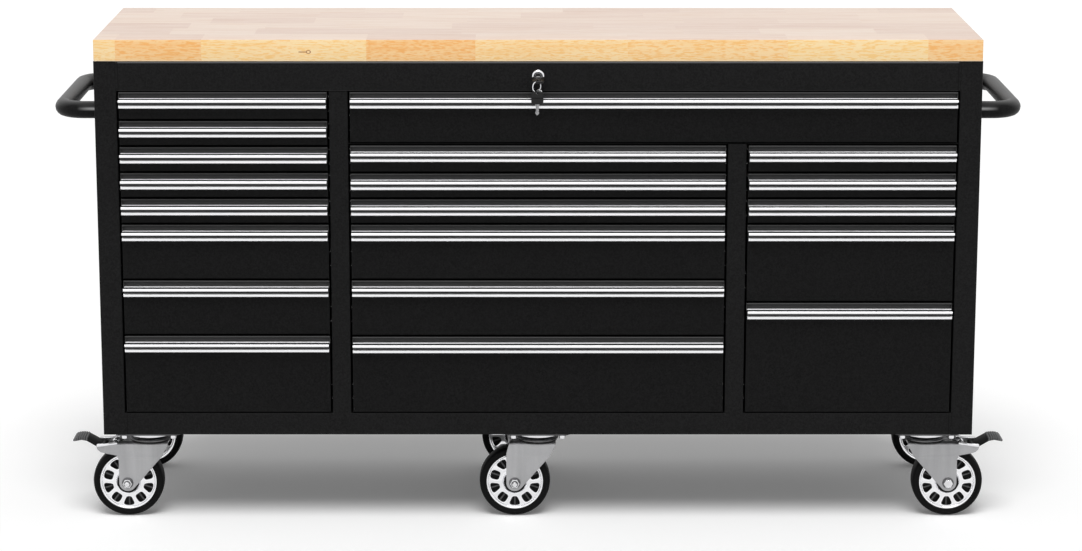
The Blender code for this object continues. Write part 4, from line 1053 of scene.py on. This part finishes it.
def build_lock(looks):
    """Domed lock head and the key with a black bow, its ring and the spare key that hangs from it."""
    x, front, z = PLACES["key_turn"]
    out = at(x, front, z) @ turned_to((0, -1, 0))
    head = lathe([
        (0.0080, -0.0240), (0.0095, -0.0240), (0.0095, 0.0003), (0.0130, 0.0003), (0.0130, 0.0018),
        (0.0124, 0.0031), (0.0112, 0.0040), (0.0096, 0.0042), (0.0086, 0.0036), (0.0080, 0.0030),
    ], 48)
    add_piece("lock_head", [(head, out, looks["chrome"])], "cabinet", "chrome_trim", "lock_cylinder")

    plug = lathe([
        (0.0001, 0.0026), (0.0074, 0.0026), (0.0078, 0.0022), (0.0078, -0.0262), (0.0001, -0.0262),
    ], 32, False)
    cam = cut_plate([rounded(rectangle(-0.0075, -0.0185, 0.0075, 0.0075), 0.005)], 0.0024, 0.0003)
    slot = cut_plate([rectangle(-0.0042, -0.0042, 0.0042, 0.0042)], 0.0016, 0.0003)
    shank = cut_plate([rectangle(-0.0035, 0.0, 0.0035, 0.0110)], 0.0022, 0.0003)
    bow_outline = rounded(rectangle(-0.0130, 0.0070, 0.0130, 0.0290), 0.0075, 5)
    bow = cut_plate([bow_outline, arc((0, 0.0240), 0.0026, 0, 337.5, 15)], 0.0060, 0.0012, 2)
    level = at(x, front, z) @ spun(180, "Z")
    droop = at(0, 0.0042, -0.0010) @ spun(KEY_DROOP, "X") @ at(0, -0.0042, 0)
    parts = [
        # the plug's darker zinc is painted shade in the lock's centre
        (plug, out, looks["zinc_dark"]),
        (cam, out @ at(0, 0, -0.0255), looks["zinc"]),
        (slot, out @ at(0, 0, 0.0036), looks["core"]),
        (shank, level @ at(0, 0.0010, 0), looks["steel"]),
        (bow, level @ droop, looks["key_plastic"]),
    ]
    add_piece("key_in_lock", parts, "key", "chrome_trim", "key")
    build_key_ring(x, front - LINK_SETBACK, z, looks)


def build_key_ring(x, y, z, looks):
    """Two wire links and the spare key below them; they ride on the key."""
    links = []
    for offset, drop, radius, turned in LINKS:
        centre = Vector((x + offset, y, z - drop))
        across = spun(turned, "Z") @ spun(LINK_LEAN, "Y")
        path = []
        for step in range(2 * LINK_STEPS):
            angle = math.tau * step / LINK_STEPS
            lift = LINK_PITCH if step >= LINK_STEPS else -LINK_PITCH
            path.append(centre + across @ Vector((radius * math.sin(angle), lift, radius * math.cos(angle))))
        links.append((rod(path, LINK_WIRE, 2), HERE, looks["lip"]))
    add_piece("split_ring", links, "key", "chrome_trim")

    hang = at(x - 0.0018, y - 0.0020, z - SPARE_KEY_DROP) @ spun(90, "X")
    grip_outline = rounded(rectangle(-0.0125, -0.0250, 0.0125, 0.0020), 0.0060, 5)
    grip = cut_plate([grip_outline, arc((0, -0.0022), 0.0022, 0, 337.5, 15)], 0.0056, 0.0012, 2)
    inlay = cut_plate([rounded(rectangle(-0.0105, -0.0130, 0.0105, -0.0105), 0.001)], 0.0064, 0.0005)
    blade_outline = [
        (-0.0046, -0.0230), (-0.0046, -0.0262), (-0.0030, -0.0285), (-0.0028, -0.0390), (-0.0042, -0.0420),
        (-0.0034, -0.0450), (0.0, -0.0480), (0.0030, -0.0450), (0.0040, -0.0425), (0.0026, -0.0400),
        (0.0034, -0.0370), (0.0024, -0.0340), (0.0032, -0.0285), (0.0046, -0.0262), (0.0046, -0.0230),
    ]
    groove = cut_plate([rectangle(-0.0016, -0.0430, -0.0006, -0.0240)], 0.0027, 0.0002)
    spare = [
        (grip, hang, looks["key_plastic"]),
        (inlay, hang, looks["core"]),
        (cut_plate([blade_outline], 0.0022, 0.0003), hang, looks["steel"]),
        # the blade groove's darker zinc is painted shade
        (groove, hang, looks["zinc_dark"]),
    ]
    add_piece("spare_key", spare, "key", "chrome_trim")


# Stage

def build_world():
    """Soft white light; the camera and reflections see a plain white background."""
    world = bpy.data.worlds.new("studio")
    bpy.context.scene.world = world
    world.use_nodes = True
    nodes, links = world.node_tree.nodes, world.node_tree.links
    background = nodes["Background"]
    background.inputs["Color"].default_value = (1.0, 1.0, 1.0, 1.0)
    rays = nodes.new("ShaderNodeLightPath")
    seen = rays.outputs["Is Camera Ray"]
    for ray in ("Is Glossy Ray", "Is Transmission Ray"):
        either = nodes.new("ShaderNodeMath")
        either.operation = "MAXIMUM"
        links.new(seen, either.inputs[0])
        links.new(rays.outputs[ray], either.inputs[1])
        seen = either.outputs["Value"]
    strength = nodes.new("ShaderNodeMapRange")
    strength.inputs["To Min"].default_value = WORLD_STRENGTH
    links.new(seen, strength.inputs["Value"])
    links.new(strength.outputs["Result"], background.inputs["Strength"])


def build_stage():
    shape = bmesh.new()
    bmesh.ops.create_grid(shape, x_segments=1, y_segments=1, size=FLOOR_SIZE / 2)
    mesh = mesh_of(shape, "studio_floor")
    mesh.materials.append(floor_material())
    new_object("studio_floor", mesh)

    sun = bpy.data.lights.new("sun", "SUN")
    sun.energy = SUN_STRENGTH
    sun.angle = math.radians(SUN_SOFTNESS)
    new_object("sun", sun).rotation_euler = (math.radians(SUN_LEAN), 0, 0)

    lens = bpy.data.cameras.new("camera")
    lens.lens = CAMERA_LENS
    lens.shift_x, lens.shift_y = CAMERA_SHIFT
    lens.clip_end = FLOOR_SIZE * 2
    camera = new_object("camera", lens)
    camera.location = CAMERA_PLACE
    camera.rotation_euler = (math.radians(90 - CAMERA_TILT), 0, 0)
    bpy.context.scene.camera = camera
    bpy.context.scene.view_settings.view_transform = "Standard"


# Assembly

def dress_frame(looks):
    """Finishes of the CAD nodes that stay: the shell, and the drawers by their column."""
    for name, node in NODES.items():
        look = "_".join(name.split("_")[:2])
        if look in looks:
            node.material_slots[0].material = looks[look]


def main():
    looks = {
        "cabinet_shell": coat("cabinet_coat", 0.0055, 0.11, 0.56, shell_mask, shell_painted_light),
        "tube": handle_coat(),
        "aluminium": anodised("pull_aluminium", 0.93, 0.97, 0.20),
        # near-black aluminium on the pulls' grooves is painted shade
        "groove": anodised("pull_groove", 0.030, 0.045, 0.35),
        "satin": anodised("pull_satin", 0.94, 0.97, 0.42, 0.3),
        "zinc": plated("zinc_plate", 0.36, 0.47, 0.42, 34.0, 0.12),
        # zinc darkened as painted shade, for the race ring, washers, collar, lock plug and key groove
        "zinc_dark": plated("zinc_painted_shade", 0.12, 0.18, 0.35),
        "zinc_bright": plated("zinc_hardware", 0.74, 0.84, 0.16),
        # bright metal for the key ring links and the spring, and a painted highlight on the wings' lips
        "lip": plated("bright_wire_and_lip_highlight", 0.80, 0.88, 0.16),
        "rim": plated("cast_rim", 0.88, 0.94, 0.16, 45.0),
        "chrome": plated("chrome_trim", 0.86, 0.92, 0.08),
        "steel": plated("key_steel", 0.30, 0.38, 0.25),
        "tyre": moulded("tyre_rubber", 0.0045, 0.60, 0.08),
        "core": moulded("black_plastic", 0.004, 0.50, 0.15),
        "rib": moulded("wheel_ribs", 0.090, 0.45, 0.25),
        "key_plastic": moulded("key_plastic", 0.004, 0.30, 0.30),
        "pedal": pedal_coat(),
    }
    for column in ("left", "middle", "right", "wide"):
        drawers = sorted(node for node in NODES if node.startswith(f"drawer_{column}"))
        mask, painted_light = tray_mask(drawers[0]), face_painted_light(*drawers)
        looks[f"drawer_{column}"] = coat(f"drawer_coat_{column}", 0.0045, 0.09, 0.56, mask, painted_light)
    dress_frame(looks)
    build_worktop()
    build_handle("left", looks["tube"])
    build_handle("right", looks["tube"])
    for node in sorted(NODES):
        if node.startswith("pull_"):
            build_pull(node, looks)
    build_casters(looks)
    build_lock(looks)
    build_world()
    build_stage()


main()
